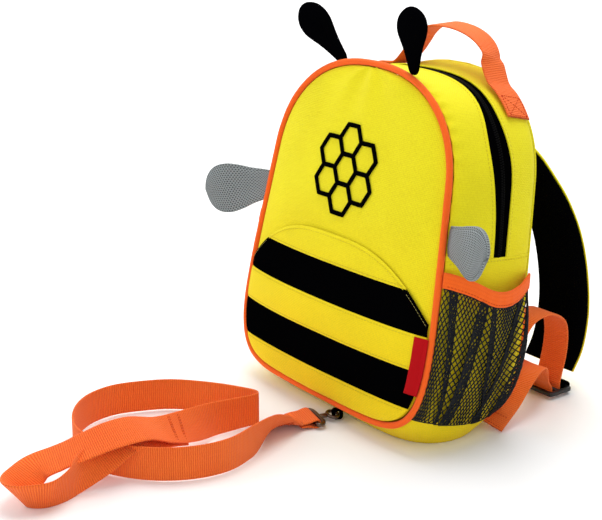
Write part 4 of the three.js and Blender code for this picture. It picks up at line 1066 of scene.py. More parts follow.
def makeLabel():
    share, row = np.meshgrid(np.linspace(0, 1, 15), np.linspace(0, 1, 41))
    height = labelLook["middle"] + (row - 0.5) * labelLook["height"]
    uv = np.stack([share * labelLook["width"], height], axis=-1)
    label = gridObject("label", labelAt(share, row, 0.0), uv)
    wallThickness(label, labelLook["thick"])
    applyModifier(label, "BEVEL", width=0.25 * mm, segments=2, limit_method="ANGLE")
    finishPiece(label, "sideLabelBare", labelCloth, ["side_label"])
    hem = labelLook["hem"] / labelLook["height"]
    rows = [lineOn(labelAt, lambda t: 0.1 + 0.85 * t, end, 30, 0.02) for end in (hem, 1 - hem)]
    stitchPiece("labelStitching", "label", labelCloth, rows, pitch=1.8, length=1.3, width=0.35, rise=0.12)


makeLabel()
print("patch and label made")


# Side pockets: coarse diamond net, pleated and bound with orange tape

netLook = {
    "low": 17.0, "standoff": 1.0, "fullness": 9.0, "bindingHeight": 11.5, "bindingThick": 2.2,
    "cellAcross": 4.3, "cellUp": 5.6, "cord": 1.0, "flatWidth": 262.0, "flatHeight": 92.0,
    "rearBulge": 7.0,
    "mouth": ((0, 124.5), (0.2, 119), (0.44, 109.5), (0.6, 108.5), (0.78, 112), (0.91, 116.8), (1, 117)),
    "pleats": ((0.12, 0.045, 0.14), (0.31, 0.075, -0.12), (0.52, 0.06, 0.16), (0.7, 0.075, -0.26),
               (0.9, 0.09, -0.2)),
}


def mouthHeight(along):
    place, height = zip(*netLook["mouth"])
    sharp = np.interp(along, place, height)
    near = [np.interp(np.clip(along + d, 0, 1), place, height) for d in (-0.06, -0.03, 0.03, 0.06)]
    return (sharp + sum(near)) / 5


def pocketSurface(side, along, up, lift):
    # along runs from the piping to the rear seam, up from the base to the mouth
    depthStart = float(depthAfterPiping(shareAtHeight(netLook["low"]))) - 0.012
    depth = depthStart + (0.985 - depthStart) * along
    rise = np.clip(up, 0, 1)
    top = mouthHeight(along) - netLook["bindingHeight"]
    height = netLook["low"] + (top - netLook["low"]) * up
    share = shareAtHeight(height)
    full = netLook["fullness"] * np.clip(np.sin(math.pi * depth), 0, 1) ** 0.8 * rise ** 1.1
    rear = np.exp(-((depth - 0.88) / 0.07) ** 2) * np.sin(math.pi * rise) ** 0.7
    full = full + netLook["rearBulge"] * rear
    return gussetAt(share if side > 0 else 1 - share, depth, netLook["standoff"] + full + lift, 0.4)


def pleatWarp(flat, up):
    # place along the pocket of a point of the flat cloth, with each pleat laid back over itself
    along, lift = flat.copy(), np.zeros_like(flat)
    for middle, width, slant in netLook["pleats"]:
        place = middle + slant * (0.5 - up) * 0.55
        s = (flat - place) / width
        fold = np.exp(-s ** 2)
        along = along - s * fold * width * 3.1
        lift = lift + 1.6 * fold * np.sin(s * 2.2)
    return along, lift


def makeNet(side, name, node):
    columns = int(netLook["flatWidth"] / netLook["cellAcross"])
    rows = int(netLook["flatHeight"] / netLook["cellUp"] * 2)
    c, r = np.meshgrid(np.arange(columns + 1), np.arange(rows + 1))
    flat = np.clip((c + 0.5 * (r % 2)) / columns, 0, 1)
    up = r / rows
    along, lift = pleatWarp(flat, up)
    along = np.clip(along, 0, 1)
    soft = 0.5 * waves(flat * 14, up * 5, 44 + side)
    held = 0.35 + 0.65 * np.sin(math.pi * np.clip(up, 0.1, 0.9))
    pleated = lift * held * np.clip(np.sin(math.pi * along) * 3, 0, 1)
    points = pocketSurface(side, along, up, 0.5 + pleated + soft * np.sin(math.pi * along))
    edges = []
    for row in range(rows):
        for column in range(columns + 1):
            here = row * (columns + 1) + column
            over = (row + 1) * (columns + 1) + column
            edges.append((here, over))
            other = column + (1 if row % 2 else -1)
            if 0 <= other <= columns:
                edges.append((here, (row + 1) * (columns + 1) + other))
    for row in (0, rows):
        for column in range(columns):
            edges.append((row * (columns + 1) + column, row * (columns + 1) + column + 1))
    flatPoints = points.reshape(-1, 3)
    cords, faces, uvs = [], [], []
    half = netLook["cord"] / 2
    for a, b in edges:
        ahead = flatPoints[b] - flatPoints[a]
        length = float(np.linalg.norm(ahead))
        if length < 0.2:
            continue
        ahead = ahead / length
        aside = np.array([0.31, 0.22, 0.92]) if abs(ahead[2]) < 0.9 else np.array([1.0, 0, 0])
        side1 = unit(np.cross(ahead, aside))
        side2 = np.cross(ahead, side1)
        base = len(cords)
        for end in (flatPoints[a] - ahead * half * 0.5, flatPoints[b] + ahead * half * 0.5):
            for turn in range(4):
                angle = math.pi / 2 * turn
                cords.append(end + half * (side1 * math.cos(angle) + side2 * math.sin(angle)))
        for turn in range(4):
            after = (turn + 1) % 4
            faces.append([base + turn, base + after, base + 4 + after, base + 4 + turn])
            uvs.append([(turn, 0), (turn + 1, 0), (turn + 1, length), (turn, length)])
        faces.append([base + 3, base + 2, base + 1, base])
        uvs.append([(0, 0)] * 4)
        faces.append([base + 4, base + 5, base + 6, base + 7])
        uvs.append([(0, 0)] * 4)
    finishPiece(meshObject(name, cords, faces, uvs), name, netCord, [node])


def makeBinding(side, name, node):
    # tape folded over the net's edge: a flattened tube, a little gathered
    along = np.linspace(0, 1, 120)
    around = np.linspace(0, 2 * math.pi, 21)[:-1]
    netHeight = mouthHeight(along) - netLook["bindingHeight"] - netLook["low"]
    rings = []
    for angle in around:
        across = np.sign(math.cos(angle)) * abs(math.cos(angle)) ** 0.35
        out = np.sign(math.sin(angle)) * abs(math.sin(angle)) ** 0.5
        up = 1 + (bag["gap"] + (0.5 + 0.5 * across) * (netLook["bindingHeight"] - 0.4)) / netHeight
        pucker = 0.22 * np.sin(along * 70) * (0.5 - 0.5 * across) + 0.3 * waves(along * 12, across, 51)
        rings.append(pocketSurface(side, along, up, 0.6 + out * netLook["bindingThick"] / 2 + pucker
                                   * np.sin(math.pi * along)))
    grid = np.stack(rings, axis=1)
    turns = np.linspace(0, 24, 21)
    uv = np.stack(np.meshgrid(turns, along * 105), axis=-1)
    band = gridObject(name, grid, uv, ring=True)
    closeEnds(band)
    finishPiece(band, name, orangeTape, [node])

    def surface(a, b, lift):
        height = mouthHeight(a) - netLook["bindingHeight"] - netLook["low"]
        return pocketSurface(side, a, 1 + (bag["gap"] + b) / height, 0.6 + netLook["bindingThick"] / 2 + lift)

    return [lineOn(surface, lambda t: 0.02 + 0.96 * t, 1.7, 120, 0.0)]


def makeSidePockets():
    rows = []
    for side, word, node in ((1, "Right", "right"), (-1, "Left", "left")):
        makeNet(side, "sideNet" + word, "side_net_" + node)
        rows += makeBinding(side, "pocketBinding" + word, "pocket_binding_" + node)
    stitchPiece("bindingStitching", "orange_webbing", orangeThread, rows, pitch=2.6, length=1.9, width=0.45)


makeSidePockets()
print("side pockets made")


# Antennae: stuffed clubs of black felt with a seam up each side

antennaLook = {
    "spacing": 79, "length": 50.5, "profile": (
        (0.0, 2.8), (0.05, 4.0), (0.14, 4.9), (0.28, 6.3), (0.42, 8.2), (0.54, 10.2), (0.63, 11.4),
        (0.72, 11.7), (0.8, 11.1), (0.87, 9.6), (0.93, 7.2), (0.98, 3.9), (1.0, 0.0)),
}


def nearestTopShare(x):
    keep = (seamShare >= 0.25) & (seamShare <= 0.5)
    share = float(np.interp(-abs(x), -seamU[keep], seamShare[keep]))
    return share if x > 0 else 1 - share


def makeAntenna(side, name, node, leanOut, leanForward, girth, reach):
    share = np.array([nearestTopShare(side * antennaLook["spacing"] / 2)])
    root = gussetAt(share, 0.062, 0.3)[0]
    axis = unit(np.array([side * leanOut, -leanForward, 1.0]))
    sideways = unit(np.cross(np.array([0.0, 1.0, 0.0]), axis))
    forward = np.cross(axis, sideways)
    t = np.linspace(0, 1, 56)
    profile = smoothPath([(p * antennaLook["length"] * reach, r, 0) for p, r in antennaLook["profile"]], t)
    turns = np.linspace(0, 2 * math.pi, 41)[:-1]
    grid = []
    for angle in turns:
        seam = 1 - 0.055 * math.exp(-((abs(abs(angle - math.pi) - math.pi / 2)) / 0.13) ** 2)
        dents = 1 + 0.022 * waves(profile[:, 0] / 9.0, np.full(len(t), angle * 1.3), 60 + side)
        around = sideways * math.cos(angle) + forward * math.sin(angle) * 0.86
        radius = np.maximum(profile[:, 1], 0) * girth * seam * dents
        grid.append(root + axis * profile[:, 0:1] + around * radius[:, None])
    points = np.stack(grid, axis=1)
    u, v = np.meshgrid(np.linspace(0, 60, 41), profile[:, 0])
    club = gridObject(name, points, np.stack([u, v], axis=-1), ring=True)
    closeEnds(club, 0.00001)
    finishPiece(club, name, blackFelt, [node])


makeAntenna(1, "antennaRight", "antenna_right", 0.17, 0.24, 1.0, 1.0)
makeAntenna(-1, "antennaLeft", "antenna_left", 1.04, 0.24, 1.1, 1.13)
print("antennae made")


# Wings: padded spacer mesh, sewn flat round the edge

wingLook = {
    "length": 66, "halfUv": 21, "thick": 5.0, "height": 145, "rootDepth": 0.05, "forward": 0.35,
    "outline": ((0, 10.5), (0.1, 12.2), (0.3, 15.0), (0.48, 18.4), (0.66, 20.6), (0.8, 19.6), (0.9, 16.0),
                (0.97, 9.6), (1.0, 1.2)),
}


def wingAt(side, droop, scale, along, rib, lift):
    share = float(shareAtHeight(wingLook["height"]))
    root = gussetAt(np.array([share if side > 0 else 1 - share]), wingLook["rootDepth"], 0.5)[0]
    ahead = unit(np.array([side, -wingLook["forward"], droop], float))
    up = np.array([0, math.sin(bag["lean"]), math.cos(bag["lean"])])
    up = unit(up - ahead * np.dot(up, ahead))
    out = np.cross(ahead, up)
    outline = smoothPath([(a * wingLook["length"], h, 0) for a, h in wingLook["outline"]], along.ravel())
    reach = outline[:, 0].reshape(along.shape) * scale[0]
    half = np.maximum(outline[:, 1].reshape(along.shape), 0.3)
    half = half * (1 + (scale[1] - 1) * np.clip(along / 0.4, 0, 1))
    sewn = shareAtHeight(wingLook["height"] + rib * half)
    seat = gussetAt(sewn if side > 0 else 1 - sewn, wingLook["rootDepth"], 0.5)
    free = root + up * (rib * half)[..., None]
    ease = np.clip(reach / 5, 0, 1)[..., None]
    base = seat * (1 - ease) + free * ease
    wave = 1.4 * np.sin(reach / 17.0 + 1.2 * rib) * np.clip(reach / 30, 0, 1)
    return base + ahead * reach[..., None] + out * (lift + wave)[..., None]


def makeWing(side, name, node, droop, scale):
    t = easeEnds(60, 0.5)
    ribs = np.sin(np.linspace(-math.pi / 2, math.pi / 2, 41))
    rib, along = np.meshgrid(ribs, t)
    ends = np.clip(np.sin(math.pi * np.clip(along, 0.06, 1.0)), 0, 1)
    edge = np.clip((1 - rib ** 2), 0, 1) ** 0.5 * ends ** 0.5
    puff = (0.5 + wingLook["thick"] / 2 * edge ** 0.8)
    lip = np.maximum(np.abs(rib), (along - 0.82) / 0.14)
    groove = 0.55 * np.exp(-((lip - 0.86) / 0.035) ** 2)
    dents = 0.35 * waves(along * 5, rib * 2, 70 + side)
    face = puff - groove + dents * edge
    front = wingAt(side, droop, scale, along, rib, face)
    back = wingAt(side, droop, scale, along, rib, -face + 2 * dents * edge)
    ring = np.concatenate([front, back[:, ::-1][:, 1:-1]], axis=1)
    u = np.concatenate([rib, rib[:, ::-1][:, 1:-1], rib[:, :1]], axis=1) * wingLook["halfUv"]
    v = np.repeat((t * wingLook["length"])[:, None], u.shape[1], axis=1)
    wing = gridObject(name, ring, np.stack([u, v], axis=-1), ring=True)
    closeEnds(wing)
    finishPiece(wing, name, greyMesh, [node])


makeWing(1, "wingRight", "wing_right", 0.06, (0.86, 0.88))
makeWing(-1, "wingLeft", "wing_left", -0.24, (1.05, 1.0))
print("wings made")


# Flat webbing along a route, with rounded edges and a woven cross rib

def webbingBand(name, centres, widthways, width, thick, bow=0.0):
    along = lengthsAlong(centres)
    ahead = unit(np.gradient(centres, axis=0))
    across = unit(widthways - ahead * np.sum(widthways * ahead, axis=1, keepdims=True))
    normal = np.cross(ahead, across)
    turns = np.linspace(0, 2 * math.pi, 25)[:-1]
    rings, u = [], []
    for angle in turns:
        c, s = math.cos(angle), math.sin(angle)
        side = math.copysign(abs(c) ** 0.3, c)
        out = math.copysign(abs(s) ** 0.45, s)
        edge = 0.12 * math.exp(-((abs(side) - 0.9) / 0.05) ** 2)
        rings.append(centres + across * (side * width / 2)
                     + normal * (out * thick / 2 * (1 + edge) + bow * (side ** 2 - 0.5)))
        u.append(side * width / 2 + (width * 1.3 if s < 0 else 0))
    points = np.stack(rings, axis=1)
    uv = np.stack(np.broadcast_arrays(np.array(u + [u[0]])[None, :], along[:, None]), axis=-1)
    band = gridObject(name, points, uv, ring=True)
    closeEnds(band)
    return band, across, normal


def rowAcross(centre, across, normal, reach=0.8, count=12):
    # one line of stitches over the webbing, to this share of its half width
    w = np.linspace(-reach, reach, count)[:, None]
    return centre + across * w * bag["webbing"] / 2, np.repeat(normal[None], count, axis=0)


# Carry handle

handleLook = {"halfSpan": 53, "foot": 250, "patch": 21, "rise": 37, "power": 2.2,
              "fall": ((-9, 36), (-18.5, 32.5), (-25.5, 27), (-30.5, 20), (-36, 12.5), (-44, 5))}


def makeHandle():
    depth = (bag["zipRear"] + 1) / 2 + 0.01
    lift = bag["webbingThick"] / 2 + bag["gap"]
    start = float(shareAtHeight((handleLook["foot"] - handleLook["patch"]) / bag["rearRise"]))
    end = float(shareAtHeight(handleLook["foot"] / bag["rearRise"]))
    share = np.linspace(start, end, 4)
    patch = gussetPoint(share, depth) + gussetNormal(share, depth) * (lift + np.linspace(0, 0.6, 4))[:, None]
    foot = patch[-1]
    s = np.linspace(0, 1, 15)[1:-1] * math.pi
    c, h = np.cos(s), np.sin(s)
    radius = (np.abs(c) ** handleLook["power"] + h ** handleLook["power"]) ** (-1 / handleLook["power"])
    arch = np.stack([handleLook["halfSpan"] * radius * c, np.full(13, foot[1]),
                     foot[2] + 6 + (handleLook["rise"] - 6) * radius * h], axis=1)
    for k, (x, z) in enumerate(handleLook["fall"]):
        arch[7 + k, 0], arch[7 + k, 2] = x, foot[2] + z
    mirror = patch[::-1] * np.array([-1, 1, 1])
    centres = np.concatenate([patch, arch, mirror])
    standing = stand(centres[:, 0], centres[:, 1], centres[:, 2])
    turned = np.interp(np.arange(13), [0, 1, 5, 7, 12], [-0.15, -0.4, -0.3, 0, 0])
    rearward = unit(np.stack([turned, np.ones(13), np.full(13, 0.03)], axis=1))
    footAcross = unit(gussetAt(share, depth + 0.1) - gussetAt(share, depth - 0.1))
    widthways = np.concatenate([footAcross, rearward, footAcross[::-1] * np.array([-1, 1, 1])])
    t = np.linspace(0, 1, 900)
    path, turn = smoothPath(standing, t), smoothPath(widthways, t)
    along, path, turn = evenSamples(path, (turn,), 1.0)
    print("carry handle webbing", round(along[-1]), "mm")
    band, across, normal = webbingBand("handle", path, turn, bag["webbing"], bag["webbingThick"])
    finishPiece(band, "carryHandleWebbing", orangeWebbing, ["carry_handle"])
    rows = []
    last = len(path) - 1
    for first, stop in ((1, 19), (last - 19, last - 1)):
        face = normal * (1 if np.dot(normal[first], path[first] - np.array([0, 40, 150])) > 0 else -1)
        lifted = path + face * (bag["webbingThick"] / 2 + 0.05)
        for w in (-0.8, 0.8):
            rows.append((lifted[first:stop] + across[first:stop] * w * bag["webbing"] / 2, face[first:stop]))
        rows += [rowAcross(lifted[k], across[k], face[k]) for k in (first, stop - 1)]
        for sign in (-1, 1):
            t = np.linspace(-0.8, 0.8, stop - first)[:, None] * sign
            rows.append((lifted[first:stop] + across[first:stop] * t * bag["webbing"] / 2, face[first:stop]))
    stitchPiece("handleStitching", "orange_webbing", orangeThread, rows, pitch=2.4, length=1.8, width=0.5)


makeHandle()
print("handle made")


# Shoulder straps: black padded pad with a yellow outer face

strapLook = {
    "width": 50, "thick": 10, "cover": 1.4, "startX": 34, "startHeight": 212, "spread": 30, "reach": 66,
    "route": ((0, 0, 1, 0.2), (0, 0.07, 0.99, 0.5), (0.14, 0.36, 0.93, 0.85), (0.45, 0.62, 0.805, 1),
              (0.7, 0.77, 0.7, 1), (0.88, 0.88, 0.585, 1), (0.98, 0.97, 0.43, 1), (1, 1, 0.29, 1),
              (1, 0.93, 0.16, 0.9), (1, 0.8, 0.085, 0.45)),
}


def strapFrames(side):
    height = strapLook["startHeight"] / bag["rearRise"]
    across = strapLook["startX"] / (float(halfWidth(height)) * bag["rearNarrow"])
    start = backAt(np.array([across]), height)[0]
    clear = strapLook["thick"] * strapLook["route"][0][3] / 2 + bag["gap"]
    route = np.array([(side * (strapLook["startX"] + s * strapLook["spread"]),
                       start[1] + clear + b * strapLook["reach"], u * start[2])
                      for s, b, u, _ in strapLook["route"]])
    t = np.linspace(0, 1, 1200)
    path = smoothPath(route, t)
    pad = np.interp(t * (len(route) - 1), np.arange(len(route)), [p for *_, p in strapLook["route"]])[:, None]
    along, path, pad = evenSamples(path, (pad,), 2.0)
    ahead = unit(np.gradient(path, axis=0))
    acrossway = unit(np.array([1.0, 0, 0]) - ahead * ahead[:, 0:1])
    out = np.cross(acrossway, ahead)
    return along, path, pad[:, 0], acrossway, out


def makeStrap(side, word, node):
    along, path, pad, acrossway, out = strapFrames(side)
    half = strapLook["thick"] / 2
    ribs = np.sin(np.linspace(-math.pi / 2, math.pi / 2, 37))
    crown = (1 - 0.62 * np.abs(ribs) ** 4) * (1 - 0.5 * np.abs(ribs) ** 14)
    creases = 0.35 * np.sin(along / 6.5 + 1.1 * np.sin(along / 23.0)) * pad
    creases = creases[:, None] * (1 - ribs ** 2)[None, :]

    def at(rib, height):
        sideways = acrossway[:, None] * (rib * strapLook["width"] / 2)[None, :, None]
        return path[:, None] + sideways + out[:, None] * height[..., None]

    inner = -half * pad[:, None] * crown[None, :] + creases
    upper = half * pad[:, None] * crown[None, :]
    ring = np.concatenate([at(ribs, upper * 0.98), at(ribs[::-1][1:-1], inner[:, ::-1][:, 1:-1])], axis=1)
    wide = np.concatenate([ribs * 25, ribs[::-1][1:-1] * 25 + 60, ribs[:1] * 25])
    uv = np.stack(np.broadcast_arrays(wide[None, :], along[:, None]), axis=-1)
    padPiece = gridObject("pad", ring, uv, ring=True)
    closeEnds(padPiece)
    finishPiece(padPiece, "shoulderStrap" + word, blackMesh, ["shoulder_strap_" + node])
    coverRise = upper + bag["gap"] * 0.4 + strapLook["cover"] * (1 - 0.5 * np.abs(ribs) ** 10)[None, :]
    points = at(ribs * 1.004, coverRise + creases * 0.5)
    coverUv = np.stack(np.broadcast_arrays((ribs * 25)[None, :], along[:, None]), axis=-1)
    cover = gridObject("cover", points, coverUv, flip=True)
    wallThickness(cover, 1.1)
    faceOutwards(cover)
    finishPiece(cover, "strapCover" + word, yellowCloth, ["strap_cover_" + node])
    rows = []
    for edge in (-0.9, 0.9):
        k = int(np.argmin(np.abs(ribs - edge)))
        line = points[3:-3, k] + out[3:-3] * 0.15
        rows.append((line, out[3:-3]))
    return rows


def makeStraps():
    rows = []
    for side, word, node in ((1, "Right", "right"), (-1, "Left", "left")):
        rows += makeStrap(side, word, node)
    stitchPiece("strapStitching", "yellow_cloth", yellowThread, rows, pitch=3.2, length=2.4, width=0.5)


makeStraps()
print("straps made")


# Buckles, loops and adjuster webbing under the straps

buckleLook = {
    "x": 76, "y": 125, "lift": 2.8, "width": 34, "length": 25, "thick": 3.2, "bar": 3.5, "corner": 3,
    "slots": ((-9, -3), (0.5, 9)), "slotHalf": 13.5, "tail": 71, "frontSlot": 6,
}


def roundedOutline(halfX, halfY, corner, count=8):
    points = []
    for cx, cy, start in ((1, 1, 0), (-1, 1, 1), (-1, -1, 2), (1, -1, 3)):
        for k in range(count + 1):
            angle = (start + k / count) * math.pi / 2
            points.append((cx * (halfX - corner) + corner * math.cos(angle),
                           cy * (halfY - corner) + corner * math.sin(angle)))
    return points


def pressedPlate(outline, holes, thick, bevel):
    # a flat plate cut by boolean holes, then rounded over
    def solid(points, height):
        mesh = bpy.data.meshes.new("cut")
        obj = bpy.data.objects.new("cut", mesh)
        bpy.context.scene.collection.objects.link(obj)
        n = len(points)
        verts = [(x * mm, y * mm, z * mm) for z in (-height, height) for x, y in points]
        sides = [[i, (i + 1) % n, n + (i + 1) % n, n + i] for i in range(n)]
        mesh.from_pydata(verts, [], sides + [list(reversed(range(n))), list(range(n, 2 * n))])
        return obj

    plate = solid(outline, thick / 2)
    for hole in holes:
        cutter = solid(hole, thick)
        pick(plate)
        modifier = plate.modifiers.new("Cut", "BOOLEAN")
        modifier.operation = "DIFFERENCE"
        modifier.solver = "EXACT"
        modifier.object = cutter
        bpy.ops.object.modifier_apply(modifier="Cut")
        bpy.data.objects.remove(cutter)
    applyModifier(plate, "BEVEL", width=bevel * mm, segments=3, limit_method="ANGLE",
                  angle_limit=math.radians(40))
    return plate


def makeBuckle(side, word, node):
    look = buckleLook
    outline = roundedOutline(look["width"] / 2, look["length"] / 2, look["corner"])
    holes = []
    for low, high in look["slots"]:
        holes.append([(x, y + (low + high) / 2) for x, y in
                      roundedOutline(look["slotHalf"], (high - low) / 2, 1.0, 4)])
    plate = pressedPlate(outline, holes, look["thick"], 0.6)
    clearSelection()
    bpy.ops.mesh.primitive_cylinder_add(vertices=24, radius=1.5 * mm, depth=26 * mm,
                                        rotation=(0, math.pi / 2, 0), location=(0, -1.25 * mm, 0.5 * mm))
    grip = bpy.context.object
    settlePlace(grip)
    applyModifier(grip, "BEVEL", width=0.4 * mm, segments=2, limit_method="ANGLE")
    joinInto(plate, (grip,))
    plate.data.transform(Matrix.Translation((side * look["x"] * mm, look["y"] * mm,
                                             (look["lift"] + look["thick"] / 2) * mm)))
    finishPiece(plate, "ladderBuckle" + word, blackPlastic, ["ladder_buckle_" + node])


def closedLoop(name, centre, corners, alongAxis, upAxis, acrossAxis, width, thick):
    # a short piece of tape that goes round a bar and back to itself
    route = np.array([centre + alongAxis * a + upAxis * b for a, b in corners])
    ring = np.concatenate([route, route[:1]])
    fine = smoothPath(ring, np.linspace(0, 1, 90))
    ahead = unit(np.roll(fine, -1, axis=0) - fine)
    out = unit(np.cross(acrossAxis, ahead))
    rings = []
    for w, h in ((-1, -0.7), (-1, 0.7), (-0.92, 1), (0.92, 1), (1, 0.7), (1, -0.7), (0.92, -1), (-0.92, -1)):
        rings.append(fine[:-1] + acrossAxis * w * width / 2 + out[:-1] * h * thick / 2)
    points = np.stack(rings + [rings[0]], axis=0)
    uv = np.stack(np.broadcast_arrays(np.array([0, 1, 2, 25, 26, 27, 28, 50, 51.0])[:, None],
                                      lengthsAlong(fine)[None, :]), axis=-1)
    loop = gridObject(name, points, uv, ring=True)
    faceOutwards(loop)
    return loop


def makeBuckleLoop(side, word, node):
    look = buckleLook
    centre = np.array([side * look["x"], look["y"] + look["length"] / 2 - look["bar"] / 2,
                       look["lift"] + look["thick"] / 2])
    dy, dz = look["bar"] / 2 + 1.2, look["thick"] / 2 + 1.2
    corners = [(dy, -dz), (-dy, -dz), (-dy, dz), (0, dz + 2), (dy, dz)]
    loop = closedLoop("loop", centre, corners, np.array([0, 1.0, 0]), np.array([0, 0, 1.0]),
                      np.array([1.0, 0, 0]), 25, 1.2)
    finishPiece(loop, "buckleLoop" + word, blackCloth, ["buckle_loop_" + node])


def makeAdjuster(side, word, node):
    look = buckleLook
    frontBar = look["y"] - look["length"] / 2
    slotA = frontBar + look["bar"] + 3
    slotB = frontBar + look["bar"] * 2 + look["frontSlot"] + 1.8
    under = 1.1
    start = np.array([
        (101.5, 35, 5), (100.5, 42, 8.6), (98.5, 55, 16), (96.5, 68, 26), (93.5, 81, 33), (89, 93, 34.5),
        (82.5, 103.5, 28.5), (78, 110, 21), (look["x"], frontBar + 1.5, 15)])
    thread = [
        (slotA - 0.4, 8), (slotA, under + 2.6), (slotA + 1.8, under + 0.4), ((slotA + slotB) / 2, under),
        (slotB - 1.8, under + 0.4), (slotB, under + 2.6), (slotB + 0.3, 10)]
    # the loose end rises out of the buckle, turns over and falls forward
    thread += [(slotB + y, share * look["tail"]) for y, share in (
        (2.2, 0.26), (5.5, 0.46), (6.2, 0.7), (2.5, 0.87), (-8, 0.975), (-20, 1), (-32, 0.96), (-40, 0.85),
        (-44, 0.7), (-45, 0.55))]
    smooth = smoothPath(start, np.linspace(0, 1, 60))
    centres = np.concatenate([smooth, [(look["x"], y, z) for y, z in thread]]) * np.array([side, 1, 1])
    fromEnd = np.concatenate([np.linspace(0, 5, 60), np.full(len(thread), 9.0)])
    turn = -side * np.clip((2.8 - fromEnd) / 2.8, 0, 1) * 0.75
    widthways = np.stack([np.cos(turn), -np.sin(turn), 0 * turn], axis=1)
    t = np.linspace(0, 1, 2400)
    path, wide = smoothPath(centres, t), smoothPath(widthways, t)
    along, path, wide = evenSamples(path, (wide,), 0.8)
    print("adjuster webbing", round(along[-1]), "mm")
    band, across, normal = webbingBand("adjuster", path, wide, bag["webbing"], bag["webbingThick"])
    finishPiece(band, "adjusterWebbing" + word, orangeWebbing, ["adjuster_webbing_" + node])
    rows = []
    for first, stop in ((2, 14), (len(path) - 12, len(path) - 2)):
        for face in (1, -1):
            rows += [rowAcross(path[k] + normal[k] * face * 0.85, across[k], normal[k] * face)
                     for k in (first, stop)]
    return rows


def makeLowerStraps():
    rows = []
    for side, word, node in ((1, "Right", "right"), (-1, "Left", "left")):
        makeBuckle(side, word, node)
        makeBuckleLoop(side, word, node)
        rows += makeAdjuster(side, word, node)
    stitchPiece("adjusterStitching", "orange_webbing", orangeThread, rows, pitch=2.2, length=1.7, width=0.5)


makeLowerStraps()
print("buckles and adjusters made")


# Snap hook, its tab, and the tether

hookLook = {
    "x": 12, "y": -65.5, "turn": math.radians(75), "lift": 2.4, "thick": 3.2,
    "eyeHalf": 16.1, "eyeReach": 9.5, "neckHalf": 2.6, "ringHalf": 7, "tabWidth": 6,
}
hookAhead = np.array([math.cos(hookLook["turn"]), math.sin(hookLook["turn"]), 0.0])
hookSide = np.array([-math.sin(hookLook["turn"]), math.cos(hookLook["turn"]), 0.0])
upright = np.array([0.0, 0.0, 1.0])


def tubeAlong(name, points, radius, turns=14, closed=True):
    points = np.asarray(points, float)
    ring = np.concatenate([points, points[:1]]) if closed else points
    fine = smoothPath(ring, np.linspace(0, 1, len(points) * 8 + 1))
    if closed:
        fine = fine[:-1]
        ahead = unit(np.roll(fine, -1, axis=0) - np.roll(fine, 1, axis=0))
    else:
        ahead = unit(np.gradient(fine, axis=0))
    side = unit(np.cross(ahead, upright))
    over = np.cross(side, ahead)
    rings = []
    for k in range(turns):
        angle = 2 * math.pi * k / turns
        rings.append(fine + radius * (side * math.cos(angle) + over * math.sin(angle)))
    grid = np.stack(rings, axis=0) if closed else np.stack(rings, axis=1)
    if closed:
        grid = np.concatenate([grid, grid[:1]], axis=0)
    uv = np.zeros((grid.shape[0], grid.shape[1] + 1, 2))
    tube = gridObject(name, grid, uv, ring=True)
    if closed:
        faceOutwards(tube)
    else:
        closeEnds(tube)
    return tube


def makeSnapHook():
    # cast eye with a rounded bar, a swivel post with a collar, and a gated ring
    look = hookLook
    wire = look["thick"] / 2
    half, reach = look["eyeHalf"] - wire, look["eyeReach"] - wire
    eye = tubeAlong("eye", [(wire, -half + 2, 0), (wire, 0, 0), (wire, half - 2, 0), (wire + 1.2, half, 0),
                            (reach - 1.5, half - 1, 0), (reach, half - 4, 0), (reach + 0.4, 0, 0),
                            (reach, -half + 4, 0), (reach - 1.5, -half + 1, 0), (wire + 1.2, -half, 0)], wire)
    clearSelection()
    bpy.ops.mesh.primitive_cylinder_add(vertices=28, radius=look["neckHalf"] * mm, depth=5.6 * mm,
                                        rotation=(0, math.pi / 2, 0), location=(12.0 * mm, 0, 0))
    neck = bpy.context.object
    settlePlace(neck)
    applyModifier(neck, "BEVEL", width=0.8 * mm, segments=3, limit_method="ANGLE")
    for vertex in neck.data.vertices:
        vertex.co.z *= 0.62
    ringHalf = look["ringHalf"] - 1.3
    ring = tubeAlong("ring", [
        (16.0, -ringHalf + 3, 0), (16.0, 0, 0), (16.0, ringHalf - 3, 0), (18.0, ringHalf, 0),
        (21.5, ringHalf - 0.4, 0), (23.4, ringHalf - 3.4, 0), (23.6, 0, 0), (23.4, -ringHalf + 3.4, 0),
        (21.5, -ringHalf + 0.4, 0), (18.0, -ringHalf, 0)], 1.25)
    gate = tubeAlong("gate", [(18.2, ringHalf + 0.2, 0.2), (19.8, ringHalf + 0.9, 0.3),
                              (21.4, ringHalf + 0.2, 0.2)], 1.0, closed=False)
    joinInto(eye, (neck, ring, gate))
    eye.data.transform(Matrix.Translation((look["x"] * mm, look["y"] * mm, (look["lift"] + wire) * mm))
                       @ Matrix.Rotation(look["turn"], 4, "Z"))
    finishPiece(eye, "snapHook", darkMetal, ["snap_hook"])


def makeTetherTab():
    look = hookLook
    centre = np.array([look["x"], look["y"], look["lift"] + look["thick"] / 2]) + hookAhead * 23.5
    dx, dz = 1.5 + 1.2, look["thick"] / 2 + 1.2
    corners = [(-dx, -dz), (-dx, dz), (dx, dz), (dx + 0.6, 0), (dx, -dz)]
    tab = closedLoop("tab", centre, corners, hookAhead, upright, hookSide, look["tabWidth"], 1.2)
    finishPiece(tab, "tetherTab", blackCloth, ["tether_tab"])


tetherReach = 300
